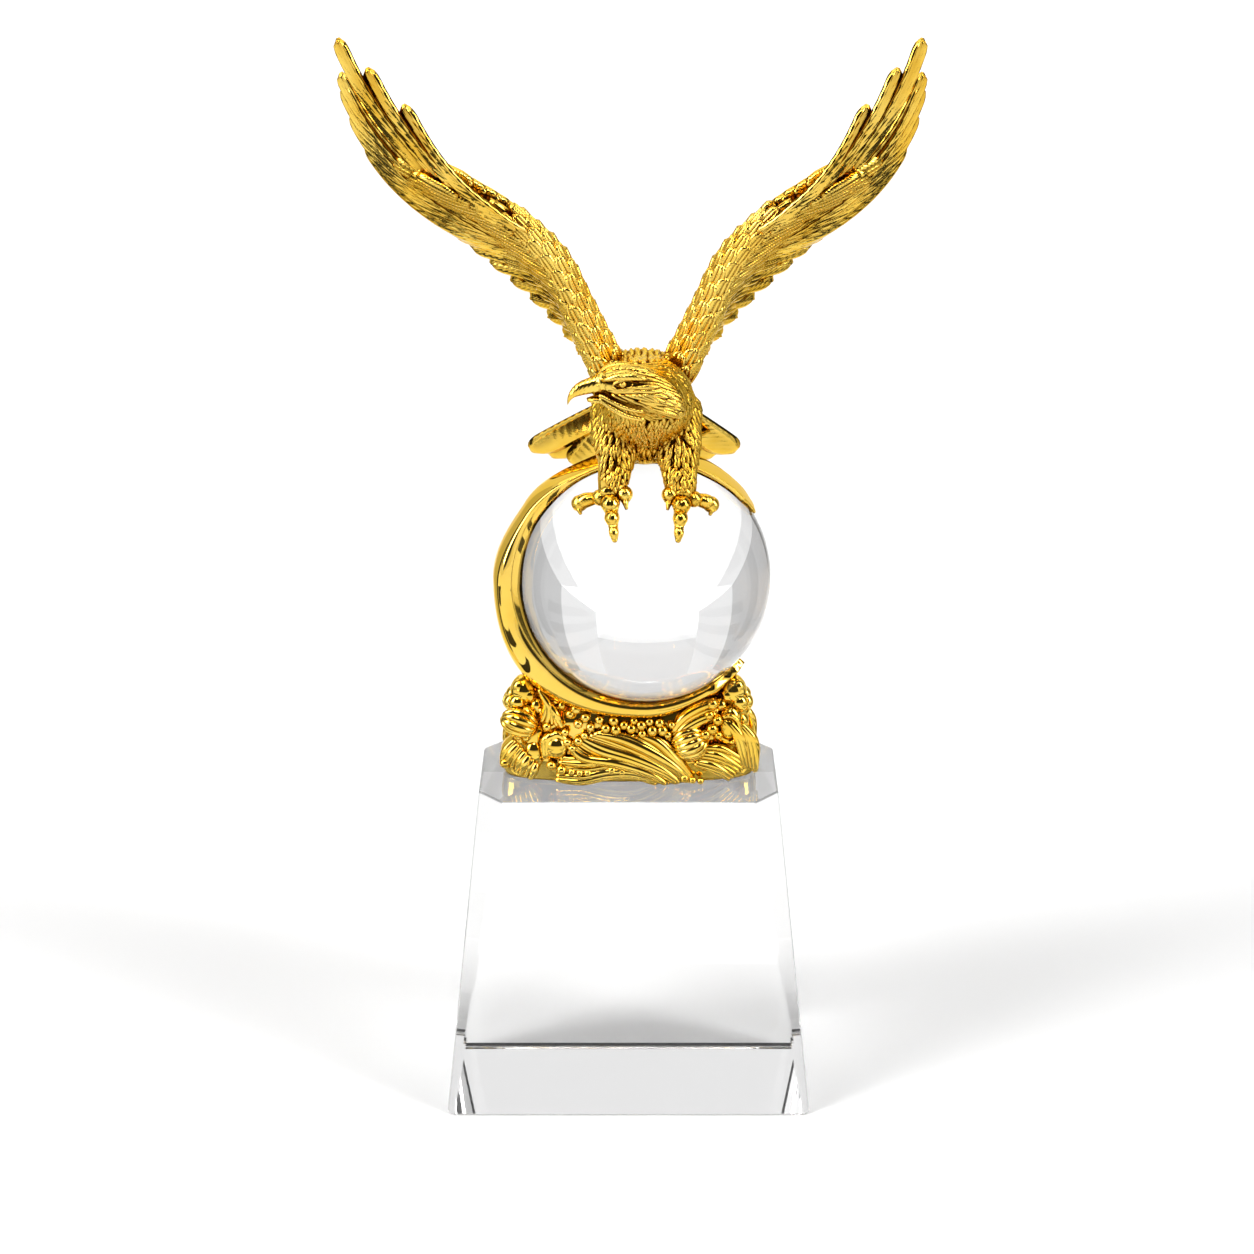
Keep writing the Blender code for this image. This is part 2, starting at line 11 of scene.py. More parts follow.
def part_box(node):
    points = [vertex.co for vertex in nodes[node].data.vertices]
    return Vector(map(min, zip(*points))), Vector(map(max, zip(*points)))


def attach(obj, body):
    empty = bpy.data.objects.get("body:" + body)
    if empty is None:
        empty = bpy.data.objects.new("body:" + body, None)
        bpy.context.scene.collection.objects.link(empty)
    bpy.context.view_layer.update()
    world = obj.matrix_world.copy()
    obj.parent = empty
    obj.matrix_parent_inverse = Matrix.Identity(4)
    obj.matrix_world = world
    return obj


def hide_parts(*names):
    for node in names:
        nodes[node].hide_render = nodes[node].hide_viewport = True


MM = 0.001
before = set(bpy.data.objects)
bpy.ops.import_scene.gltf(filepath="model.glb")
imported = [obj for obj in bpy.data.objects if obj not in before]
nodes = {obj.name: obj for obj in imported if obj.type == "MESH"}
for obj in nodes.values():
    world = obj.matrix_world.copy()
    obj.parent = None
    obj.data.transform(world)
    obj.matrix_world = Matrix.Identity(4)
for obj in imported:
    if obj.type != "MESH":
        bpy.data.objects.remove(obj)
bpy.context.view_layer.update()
rng = random.Random(7)

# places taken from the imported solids
ball_low, ball_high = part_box("crystal_ball")
BALL_CENTRE = (ball_low + ball_high) / 2
BALL_RADIUS = (ball_high.z - ball_low.z) / 2
_, block_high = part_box("crystal_base")
FIT_GAP = 0.3 * MM
WAVE_BOTTOM = block_high.z + FIT_GAP
EAGLE_X = BALL_CENTRE.x - 0.7 * MM
EAGLE_HEIGHT = 129.5 * MM
EAGLE_PARTS = 129.5
PART = EAGLE_HEIGHT / EAGLE_PARTS


# Curves and shells

class Shells:
    """Collects closed shells of points, with a map across and along each, into one mesh."""

    def __init__(self):
        self.points = []
        self.faces = []
        self.maps = []

    def skin(self, rings):
        """One closed shell through rings of equal count, with a flat cap at each end."""
        first = len(self.points)
        count = len(rings[0])
        last = len(rings) - 1
        for ring in rings:
            self.points.extend(ring)
        for i in range(last):
            for j in range(count):
                k = (j + 1) % count
                a = first + i * count
                b = a + count
                self.faces.append((a + j, a + k, b + k, b + j))
                u0 = j / count
                u1 = (j + 1) / count
                v0 = i / last
                v1 = (i + 1) / last
                self.maps.append(((u0, v0), (u1, v0), (u1, v1), (u0, v1)))
        for ring_start, turn in ((first, -1), (first + last * count, 1)):
            loop = [ring_start + j for j in range(count)][::turn]
            self.faces.append(tuple(loop))
            self.maps.append(tuple((0.5, 0 if turn < 0 else 1) for _ in loop))

    def object(self, name, slot):
        """The shells as one smooth mesh object in the scene."""
        mesh = bpy.data.meshes.new(name)
        mesh.from_pydata([tuple(p) for p in self.points], [], self.faces)
        layer = mesh.uv_layers.new(name="across_along")
        layer.data.foreach_set("uv", [c for face in self.maps for uv in face for c in uv])
        mesh.materials.append(slot)
        mesh.polygons.foreach_set("use_smooth", [True] * len(mesh.polygons))
        made = bpy.data.objects.new(name, mesh)
        bpy.context.scene.collection.objects.link(made)
        outward(made)
        return made


def outward(made):
    """Turns every face outward."""
    bm = bmesh.new()
    bm.from_mesh(made.data)
    bmesh.ops.recalc_face_normals(bm, faces=bm.faces)
    bm.to_mesh(made.data)
    bm.free()


def smooth_curve(points, steps):
    """A smooth curve through all the points, with steps between each two."""
    ends = [points[0] * 2 - points[1], *points, points[-1] * 2 - points[-2]]
    found = []
    for a, b, c, d in zip(ends, ends[1:], ends[2:], ends[3:]):
        for i in range(steps):
            t = i / steps
            found.append(0.5 * ((2 * b) + (c - a) * t + (2 * a - 5 * b + 4 * c - d) * t * t
                                + (3 * b - a - 3 * c + d) * t ** 3))
    return found + [points[-1]]


def blend(rows, at):
    """Values between rows that begin with their place, eased from one row to the next."""
    at = min(max(at, rows[0][0]), rows[-1][0])
    for low, high in zip(rows, rows[1:]):
        if at <= high[0]:
            t = (at - low[0]) / (high[0] - low[0])
            t = t * t * (3 - 2 * t)
            return [a + (b - a) * t for a, b in zip(low[1:], high[1:])]
    return list(rows[-1][1:])


def frames(path, facing):
    """Each point of a path with its sideways and its facing direction."""
    last = len(path) - 1
    for i, point in enumerate(path):
        along = (path[min(i + 1, last)] - path[max(i - 1, 0)]).normalized()
        side = along.cross(facing).normalized()
        yield point, side, side.cross(along).normalized()


def bend(root, through, tip, steps):
    """A curve from root to tip, drawn toward a third point."""
    return [root * (1 - t) ** 2 + through * 2 * t * (1 - t) + tip * t ** 2
            for t in (i / steps for i in range(steps + 1))]


def arc(start, finish, rise, steps):
    """A curve whose middle is drawn off the straight line by rise."""
    return bend(start, (start + finish) / 2 + rise, finish, steps)


def on_curve(curve, share):
    """The place at a share of the curve, 0 to 1."""
    share = min(max(share, 0), 1)
    low = min(int(share * (len(curve) - 1)), len(curve) - 2)
    return curve[low].lerp(curve[low + 1], share * (len(curve) - 1) - low)


def bar(shells, path, radii, facing, sides=12, squash=1.0):
    """A closed round bar along a path."""
    rings = []
    for (point, side, face), radius in zip(frames(path, facing), radii):
        rings.append([point + side * math.cos(a) * radius + face * math.sin(a) * radius * squash
                      for a in (2 * math.pi * k / sides for k in range(sides))])
    shells.skin(rings)


def ball(shells, centre, radii, turns=14, rows=9):
    """A closed ball or egg; radii is one number or three."""
    if not hasattr(radii, "__len__"):
        radii = (radii, radii, radii)
    rings = []
    for i in range(rows):
        lift = math.pi * (i + 0.2) / (rows - 0.6)
        rings.append([centre + Vector((
            radii[0] * math.sin(lift) * math.cos(2 * math.pi * k / turns),
            radii[1] * math.sin(lift) * math.sin(2 * math.pi * k / turns),
            radii[2] * math.cos(lift))) for k in range(turns)])
    shells.skin(rings)


# Feather sections: across from the trailing edge (-1) to the leading edge (1), and height
LEAF = ((-1, 0.1), (-0.82, 0.62), (-0.5, 0.95), (-0.22, 0.75), (-0.1, 1.35), (0, 1.6), (0.1, 1.35),
        (0.22, 0.75), (0.5, 0.95), (0.82, 0.62), (1, 0.1))
BLADE = ((-1, 0.1), (-0.9, 0.75), (-0.72, 0.95), (-0.5, 0.5), (-0.3, 0.9), (-0.15, 0.45), (0.2, 0.15),
         (0.45, 0.3), (0.55, 1.0), (0.7, 1.75), (0.86, 1.7), (1, 0.5))
SCALE = ((-1, 0.1), (-0.8, 1.0), (-0.5, 1.15), (-0.4, 0.7), (-0.3, 1.2), (0.05, 1.35), (0.15, 0.8),
         (0.25, 1.3), (0.6, 1.1), (0.85, 0.8), (1, 0.1))
TUFT = ((-1, 0.1), (-0.45, 0.95), (0, 1.5), (0.45, 0.95), (1, 0.1))


def feather(shells, path, width, facing, thickness=1.7, profile=LEAF, lead=1, narrow=0.55, round_share=None,
            under=(0.6, 0, -0.6)):
    """A blade along the path with the section of its profile and a round tip; lead turns the section over."""
    rings = []
    last = len(path) - 1
    thick = thickness / 2 * PART
    if round_share is None:
        round_share = min(0.6, 0.62 * width * PART / (path[-1] - path[0]).length)
    for i, (place, side, face) in enumerate(frames(path, facing)):
        t = i / last
        past = max(0.0, (t - 1 + round_share) / round_share)
        swell = min(1.0, narrow + 1.8 * t) * math.sqrt(max(0.02, 1 - past * past))
        half = width / 2 * PART * swell * lead
        lift = thick * (0.3 + 0.7 * min(1.0, swell * 1.4))
        ring = [place + side * (u * half) + face * lift * rise for u, rise in profile]
        ring += [place + side * (u * half) - face * lift * 0.6 for u in under]
        rings.append(ring)
    shells.skin(rings)


def eagle_point(x, y, z):
    """A place counted in the eagle's parts from the top of the crystal ball."""
    return Vector((EAGLE_X, 0, ball_high.z)) + Vector((x, y, z)) * PART


def on_ball(side, lean, height=0.0):
    """A place over the crystal ball, in degrees aside and forward of its top."""
    across = math.radians(side)
    forward = math.radians(lean)
    out = Vector((math.sin(across), -math.cos(across) * math.sin(forward),
                  math.cos(across) * math.cos(forward)))
    return Vector((EAGLE_X, BALL_CENTRE.y, BALL_CENTRE.z)) + out * (BALL_RADIUS + height)


# Materials

def shader_of(name):
    """A new material with its node tree and its main shader."""
    made = bpy.data.materials.new(name)
    made.use_nodes = True
    tree = made.node_tree
    return made, tree, tree.nodes["Principled BSDF"]


# brown of the painted shade that darkens the gold in creases and hollows
PAINTED_CREASE_SHADE = (0.26, 0.11, 0.003, 1)
GOLD_SHEEN = (1.0, 0.84, 0.45, 1)
OPEN_SHARE = 0.88


def gilding(name, deep, bright, rough_low, rough_high, grain, grain_depth, reach, hidden, barbs=0.0):
    """Plated gold: colour and gloss drift, painted brown shade in the creases, a fine grain and feather barbs.

    The painted shade looks for cover within reach, in metres. It is full where no more than the hidden share
    lies open, and it has faded where the open share is reached.
    """
    made, tree, shader = shader_of(name)
    link = tree.links.new
    place = tree.nodes.new("ShaderNodeTexCoord")
    drift = tree.nodes.new("ShaderNodeTexNoise")
    drift.inputs["Scale"].default_value = 60
    drift.inputs["Detail"].default_value = 3
    link(place.outputs["Object"], drift.inputs["Vector"])
    ramp = tree.nodes.new("ShaderNodeValToRGB")
    ramp.color_ramp.elements[0].position = 0.35
    ramp.color_ramp.elements[0].color = (*deep, 1)
    ramp.color_ramp.elements[1].position = 0.65
    ramp.color_ramp.elements[1].color = (*bright, 1)
    link(drift.outputs["Fac"], ramp.inputs["Fac"])
    # painted shade: ambient occlusion mixes brown into the gold in creases and hollows
    cover = tree.nodes.new("ShaderNodeAmbientOcclusion")
    cover.samples = 8
    cover.inputs["Distance"].default_value = reach
    depth = tree.nodes.new("ShaderNodeMapRange")
    depth.inputs["From Min"].default_value = hidden
    depth.inputs["From Max"].default_value = OPEN_SHARE
    link(cover.outputs["AO"], depth.inputs["Value"])
    painted_shade_mix = tree.nodes.new("ShaderNodeMix")
    painted_shade_mix.data_type = "RGBA"
    painted_shade_mix.inputs["A"].default_value = PAINTED_CREASE_SHADE
    link(depth.outputs["Result"], painted_shade_mix.inputs["Factor"])
    link(ramp.outputs["Color"], painted_shade_mix.inputs["B"])
    link(painted_shade_mix.outputs["Result"], shader.inputs["Base Color"])
    gloss = tree.nodes.new("ShaderNodeMapRange")
    gloss.inputs["To Min"].default_value = rough_low
    gloss.inputs["To Max"].default_value = rough_high
    link(drift.outputs["Fac"], gloss.inputs["Value"])
    link(gloss.outputs["Result"], shader.inputs["Roughness"])
    shader.inputs["Metallic"].default_value = 1.0
    shader.inputs["Specular Tint"].default_value = GOLD_SHEEN
    fine = tree.nodes.new("ShaderNodeTexNoise")
    fine.inputs["Scale"].default_value = grain
    fine.inputs["Detail"].default_value = 2
    link(place.outputs["Object"], fine.inputs["Vector"])
    bump = tree.nodes.new("ShaderNodeBump")
    bump.inputs["Strength"].default_value = grain_depth
    bump.inputs["Distance"].default_value = 0.0003
    link(fine.outputs["Fac"], bump.inputs["Height"])
    link(bump.outputs["Normal"], shader.inputs["Normal"])
    if barbs:
        comb = tree.nodes.new("ShaderNodeTexWave")
        comb.wave_type = "BANDS"
        comb.bands_direction = "DIAGONAL"
        comb.inputs["Scale"].default_value = 9
        comb.inputs["Distortion"].default_value = 0.6
        link(place.outputs["UV"], comb.inputs["Vector"])
        second = tree.nodes.new("ShaderNodeBump")
        second.inputs["Strength"].default_value = barbs
        second.inputs["Distance"].default_value = 0.0002
        link(comb.outputs["Fac"], second.inputs["Height"])
        link(bump.outputs["Normal"], second.inputs["Normal"])
        link(second.outputs["Normal"], shader.inputs["Normal"])
    return made


def crystal(name, ior, arris=0.0):
    """Clear crystal; only the polish varies, and ground edges are broken by a fine arris."""
    made, tree, shader = shader_of(name)
    shader.inputs["Base Color"].default_value = (1, 1, 1, 1)
    shader.inputs["Transmission Weight"].default_value = 1.0
    shader.inputs["IOR"].default_value = ior
    shader.inputs["Roughness"].default_value = 0.0
    place = tree.nodes.new("ShaderNodeTexCoord")
    noise = tree.nodes.new("ShaderNodeTexNoise")
    noise.inputs["Scale"].default_value = 25
    bump = tree.nodes.new("ShaderNodeBump")
    bump.inputs["Strength"].default_value = 0.01
    bump.inputs["Distance"].default_value = 0.0002
    tree.links.new(place.outputs["Object"], noise.inputs["Vector"])
    tree.links.new(noise.outputs["Fac"], bump.inputs["Height"])
    tree.links.new(bump.outputs["Normal"], shader.inputs["Normal"])
    if arris:
        broken = tree.nodes.new("ShaderNodeBevel")
        broken.samples = 4
        broken.inputs["Radius"].default_value = arris
        tree.links.new(broken.outputs["Normal"], bump.inputs["Normal"])
    return made


plumage_gold = gilding("plumage_gold", (0.84, 0.50, 0.05), (0.98, 0.68, 0.13), 0.06, 0.11,
                       grain=900, grain_depth=0.12, reach=0.0048, hidden=0.46, barbs=0.2)
wave_gold = gilding("wave_gold", (0.90, 0.56, 0.06), (1.0, 0.70, 0.14), 0.05, 0.10,
                    grain=500, grain_depth=0.08, reach=0.0015, hidden=0.15)
mirror_gold = gilding("mirror_gold", (0.94, 0.61, 0.09), (0.98, 0.66, 0.13), 0.02, 0.05,
                      grain=300, grain_depth=0.02, reach=0.002, hidden=0.3)
ball_crystal = crystal("ball_crystal", 1.5)
block_crystal = crystal("block_crystal", 1.51, arris=0.0007)


def finish_piece(made, slot_name, *replaced):
    """Gives a mesh its body and hides the nodes it stands for; slot_name is not used."""
    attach(made, "root")
    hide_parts(*replaced)


# Crystal

for held in nodes["crystal_base"].material_slots:
    held.material = block_crystal

globe = Shells()
ball(globe, BALL_CENTRE, BALL_RADIUS, 128, 96)
finish_piece(globe.object("ball_of_crystal", ball_crystal), "clear_crystal_ball", "crystal_ball")

# Crescent

# angle in degrees, wall at the ridge, wall at the lips, half width
CRESCENT_STATIONS = (
    (32, 0.9, 0.7, 0.6), (35, 1.4, 1.2, 3.4), (43, 1.6, 1.4, 5.4), (66, 1.6, 1.4, 6.4),
    (115, 1.6, 1.2, 6.6), (148, 4.9, 2.9, 8.0), (180, 8.3, 4.2, 12.0), (220, 10.7, 2.0, 14.8),
    (270, 6.5, 1.0, 13.4), (299, 5.3, 1.8, 9.0), (312, 4.4, 3.2, 3.6), (317, 3.9, 3.5, 0.5),
)


def crescent_ring(angle):
    """The crescent's section at an angle: hollow toward the ball, ridged outward."""
    wall, lip_wall, half = (v * MM for v in blend(CRESCENT_STATIONS, angle))
    seat = BALL_RADIUS + FIT_GAP
    lip = half * 0.92
    outline = []
    for i in range(13):
        y = lip * (i / 6 - 1)
        outline.append((math.sqrt(seat * seat - y * y), y))
    for i in range(33):
        swing = math.pi * i / 32
        rise = math.sin(swing) ** 0.8
        outline.append((seat + lip_wall + (wall - lip_wall) * rise, half * math.cos(swing)))
    out = Vector((math.cos(math.radians(angle)), 0, math.sin(math.radians(angle))))
    return [BALL_CENTRE + out * radius + Vector((0, y, 0)) for radius, y in outline]


horn_start = CRESCENT_STATIONS[0][0]
horn_sweep = CRESCENT_STATIONS[-1][0] - horn_start
horn = Shells()
horn.skin([crescent_ring(horn_start + horn_sweep * i / 240) for i in range(241)])
finish_piece(horn.object("polished_crescent", mirror_gold), "polished_gilt", "crescent")

# Waves

WAVE_WIDTH = 84 * MM
WAVE_DEPTH = 23 * MM
SEAT_HEIGHT = 21.4 * MM


# the waves' middle line, their foot and the size of one step across and up, as they show from the front
SEEN_MIDDLE = 628.5
SEEN_FOOT = 782
STEP_ACROSS = 0.3282 * MM
STEP_UP = 0.01716


def wave_face(x, rise, face, out=0.0):
    """A place on the waves' rounded front (face -1) or back (1): x, share of the height, outward offset."""
    bulge = 1 - 0.22 * abs(2 * x / WAVE_WIDTH) ** 4
    slope = 0.86 + 0.14 * math.cos(math.pi * 0.5 * rise)
    return Vector((x, face * (WAVE_DEPTH / 2 * bulge * slope + out), WAVE_BOTTOM + SEAT_HEIGHT * rise))


def seen(px, py, face=-1, out=0.0):
    """A place on the waves' face from where it shows: across and up, counted in the same small steps."""
    return wave_face((px - SEEN_MIDDLE) * STEP_ACROSS, (SEEN_FOOT - py) * STEP_UP, face, out)


def roll_radii(radius, ends, last):
    """Radii along a roll of water: full in the middle, down to the share ends at both ends."""
    return [radius * (ends + (1 - ends) * math.sin(math.pi * (0.1 + 0.82 * i / last)))
            for i in range(last + 1)]


def strands(shells, upper, lower, count, radius, face):
    """Rolls of water laid side by side between an upper and a lower line."""
    top = smooth_curve([seen(*p, face) for p in upper], 6)
    low = smooth_curve([seen(*p, face) for p in lower], 6)
    for k in range(count):
        share = k / (count - 1)
        wobble = 0.5 * MM * math.sin(2.4 * k)
        path = [a.lerp(b, share) + Vector((0, 0, wobble * math.sin(math.pi * i / len(top))))
                for i, (a, b) in enumerate(zip(top, low))]
        swell = 1.0 + 0.35 * math.sin(1.7 * k)
        bar(shells, path, roll_radii(radius * MM * swell, 0.3, len(path) - 1), Vector((0, face, 0.2)), 10)


def striped_head(shells, px, py, radii, tilt, stripes, face, tuck=1.6):
    """A rounded head of water combed into rolls that meet at its two ends."""
    centre = seen(px, py, face, -tuck * MM)
    long, deep, tall = (r * MM for r in radii)
    turn = Matrix.Rotation(-math.radians(tilt), 3, "Y")
    ball(shells, centre, (min(long, tall) * 0.97, deep * 0.97, min(long, tall) * 0.97), 24, 16)
    for k in range(stripes):
        swing = math.radians(-80 + 160 * k / (stripes - 1))
        path = []
        radii_along = []
        for i in range(15):
            along = math.pi * (0.04 + 0.92 * i / 14)
            ring = math.sin(along)
            offset = Vector((long * math.cos(along), face * deep * ring * math.cos(swing),
                             tall * ring * math.sin(swing)))
            path.append(centre + turn @ offset)
            radii_along.append(MM * (0.25 + 1.15 * ring * tall / MM * math.radians(160) / (stripes - 1) * 0.55))
        bar(shells, path, radii_along, Vector((0, face, 0)), 10)


def fan(shells, places, count, radius, face):
    """Separate rolls of water through three places, each place given with its step from roll to roll."""
    for k in range(count):
        start, middle, finish = ((px + step_x * k, py + step_y * k) for px, step_x, py, step_y in places)
        path = smooth_curve([seen(*start, face), seen(*middle, face, 0.3 * MM), seen(*finish, face)], 9)
        swell = 1 + 0.2 * math.sin(2.1 * k)
        bar(shells, path, roll_radii(radius * MM * swell, 0.35, len(path) - 1), Vector((0, face, 0.2)), 10)


def waves():
    """The wave casting: a core, rolls and heads of water on both faces, drops, and boulders at the ends."""
    shells = Shells()
    rim = SEAT_HEIGHT + 3 * MM
    rings = []
    for i in range(25):
        high = i / 24
        wide, deep = blend(((0, 0.97, 0.86), (0.1, 0.99, 0.88), (0.3, 1.0, 0.88), (0.55, 0.91, 0.84),
                            (0.8, 0.80, 0.78), (1.0, 0.66, 0.66)), high)
        ring = []
        for k in range(96):
            turn = 2 * math.pi * k / 96
            c, s = math.cos(turn), math.sin(turn)
            x = WAVE_WIDTH * wide / 2 * math.copysign(abs(c) ** 0.7, c)
            z = WAVE_BOTTOM + rim * high
            from_ball = math.hypot(x - BALL_CENTRE.x, z - BALL_CENTRE.z)
            room = BALL_RADIUS + 5.4 * MM
            if from_ball < room:
                z = BALL_CENTRE.z - math.sqrt(max(0, room ** 2 - (x - BALL_CENTRE.x) ** 2))
            ring.append(Vector((x, WAVE_DEPTH * deep / 2 * math.copysign(abs(s) ** 0.7, s), z)))
        rings.append(ring)
    shells.skin(rings)
    for face in (-1, 1):
        # the middle sweep, from under the crest down to the right
        strands(shells, ((598, 733), (626, 737), (654, 750), (676, 764), (692, 779)),
                ((568, 744), (584, 757), (616, 762), (646, 771), (666, 782)), 9, 1.6, face)
        strands(shells, ((646, 735), (662, 742), (676, 756), (691, 775)),
                ((612, 736), (634, 744), (655, 757), (683, 777)), 6, 1.3, face)
        # the low sweep that rises and falls at the foot
        strands(shells, ((560, 757), (588, 759), (612, 757), (640, 763), (664, 777)),
                ((556, 778), (582, 779), (608, 773), (634, 773), (656, 782)), 6, 1.35, face)
        # the hair over the striped head, the fan under it and the fall at the right end
        strands(shells, ((672, 730), (684, 716), (704, 706), (716, 706)),
                ((672, 744), (684, 731), (700, 722), (714, 719)), 6, 1.35, face)
        fan(shells, ((694, 1.5, 763, -2.6), (712, 1.6, 768, -3.2), (729, 3.2, 779, -2.4)), 7, 1.3, face)
        fan(shells, ((722, 4.5, 722, 1.2), (735, 4.4, 738, 1.5), (742, 3.2, 768, 1.2)), 5, 1.4, face)
        # slanting ridges at the left end
        fan(shells, ((503, 4.6, 766, 2.0), (507, 4.7, 752, 2.8), (516, 3.6, 742, 3.4)), 7, 1.45, face)
        # rolled cap over the ridges, with the hair that falls from the boulders onto it
        striped_head(shells, 521, 727, (6.0, 4.0, 3.3), -22, 5, face)
        fan(shells, ((541, 2.4, 694, 3), (548, 2.2, 708, 2), (543, 5, 724, 1.2)), 5, 1.2, face)
        # the curling head at the left of the middle sweep, and its smooth pocket
        ball(shells, seen(557, 748, face, -1.2 * MM), (4.2 * MM, 3.4 * MM, 4.4 * MM), 24, 16)
        fan(shells, ((545, 2.6, 758, -0.8), (546, 3.2, 740, -1.6), (562, 2.2, 733, 2.6)), 4, 1.35, face)
        ball(shells, seen(535, 757, face, -2.6 * MM), (3.6 * MM, 2.8 * MM, 5.0 * MM), 24, 16)
        # the striped head
        striped_head(shells, 689, 744, (5.6, 4.6, 5.4), 24, 8, face, 2.0)
        # the smooth disc beside it, in its rim
        disc = seen(727, 731, face, -1.4 * MM)
        ball(shells, disc, (3.4 * MM, 2.6 * MM, 4.4 * MM), 28, 18)
        rim_path = [disc + Vector((3.7 * MM * math.cos(a), face * 1.7 * MM, 4.9 * MM * math.sin(a)))
                    for a in (math.radians(120 - 200 * i / 16) for i in range(17))]
        bar(shells, rim_path, [0.75 * MM] * 17, Vector((0, face, 0)), 10)
        # drops thrown up along the crest
        for px, py, size in (
            (563, 708, 1.3), (571, 716, 1.5), (577, 711, 1.9), (586, 719, 1.6), (579, 725, 1.6), (591, 728, 1.5),
            (600, 721, 1.5), (606, 729, 1.7), (614, 722, 1.8), (616, 730, 1.9), (624, 726, 1.6), (631, 729, 1.8),
            (634, 722, 1.4), (641, 726, 1.8), (642, 734, 1.5), (649, 723, 1.5), (652, 731, 1.9), (659, 724, 1.7),
            (662, 731, 1.9), (667, 735, 1.4), (671, 726, 1.3), (579, 741, 1.6), (568, 742, 1.5), (573, 748, 1.4),
            (585, 736, 1.3), (566, 733, 1.4), (514, 736, 1.2), (520, 738, 1.2), (527, 739, 1.2), (548, 728, 1.5),
            (711, 707, 2.0), (708, 717, 1.7), (716, 722, 1.9), (704, 735, 1.9), (711, 730, 2.1), (717, 736, 1.5),
            (700, 744, 1.5), (552, 764, 1.7), (562, 768, 1.8), (572, 770, 1.3), (580, 771, 1.3), (588, 771, 1.3),
            (612, 768, 1.5), (622, 770, 1.4), (684, 776, 1.5), (692, 778, 1.3), (700, 779, 1.2), (506, 764, 1.8),
        ):
            ball(shells, seen(px, py, face, 0.35 * MM), size * MM, 12, 8)
    # boulders at each end
    for side, x0 in ((-1, -33.8), (1, 33.8)):
        x = x0 * MM
        top = WAVE_BOTTOM + 34 * MM
        for outer, back, down, radii in (
            (-3, 0, 19.5, (7.5, 9, 9)), (0, -1.5, 5.2, (4.7, 5, 5.4)), (-3.6, 2, 8, (4, 5, 4.5)),
            (1.8, 0.5, 11.4, (4.4, 5.6, 5)), (-1, -5, 13, (4.2, 3.6, 4.4)), (2.2, -4.6, 8.2, (2.8, 2.4, 3.0)),
            (-4.2, -4.2, 9.5, (2.6, 2.4, 3.2)), (2.6, -3.6, 14.6, (2.8, 2.8, 3.0)), (3.6, 4.4, 9, (2.8, 2.6, 3.0)),
            (1.6, -3.4, 3.0, (2.3, 2.2, 2.6)), (-1.8, -4.4, 5.6, (2.4, 2.2, 2.6)),
            (4.6, -2.6, 8.6, (2.2, 2.6, 2.8)), (0.8, 3.8, 4.6, (2.8, 2.4, 2.8)),
        ):
            centre = Vector((x + side * outer * MM, back * MM, top - down * MM))
            ball(shells, centre, [r * MM for r in radii], 26, 18)
        for i in range(7):
            start = Vector((x - side * (5 + 0.8 * i) * MM, (-7 + 2 * i) * MM, top - 9 * MM))
            finish = Vector((x - side * (7 + 1.4 * i) * MM, (-8.5 + 2.6 * i) * MM, WAVE_BOTTOM + 17 * MM))
            path = arc(start, finish, Vector((-side * 1.5 * MM, -1 * MM, 0)), 12)
            radii = [1.2 * MM * (0.4 + 0.6 * math.sin(math.pi * j / 12)) for j in range(13)]
            bar(shells, path, radii, Vector((0, -1, 0)), 10)
    return shells


finish_piece(waves().object("cast_waves", wave_gold), "gilt_waves", "wave_base")

# Eagle: body

FORWARD = Vector((-0.955, -0.27, -0.10)).normalized()
TOWARD = Vector((0.27, -0.96, 0.0)).normalized()
HEAD_UP = FORWARD.cross(TOWARD).normalized()
if HEAD_UP.z < 0:
    HEAD_UP = -HEAD_UP
SKULL = eagle_point(-3.4, -35, 34.7)
LEG_PARTS = 0.8


def head_point(f, s, u):
    """A place on the head: toward the beak, toward the side, up."""
    return SKULL + (FORWARD * f + TOWARD * s + HEAD_UP * u) * PART


def head_ring(shells, stations, turns=24):
    """A shell across the head: rows of forward, half width, lower and upper edge."""
    shells.skin([
        [head_point(f, half * math.cos(a), (low + high) / 2 + (high - low) / 2 * math.sin(a))
         for a in (2 * math.pi * k / turns for k in range(turns))]
        for f, half, low, high in stations
    ])


def leg_path(side):
    """The middle line of a leg, from the thigh down to the ball."""
    return smooth_curve([
        eagle_point(LEG_PARTS + side * 8.0, -9, 20), eagle_point(LEG_PARTS + side * 9.2, -14.5, 10),
        eagle_point(LEG_PARTS + side * 10.0, -18.3, 2), on_ball(side * 15.0 + LEG_PARTS, 30.7, 2.4 * PART),
    ], 6)


def part_widths(rows, path):
    """Radii along a path, from rows of share and width in the eagle's parts."""
    last = len(path) - 1
    return [blend(rows, i / last)[0] * PART for i in range(last + 1)]


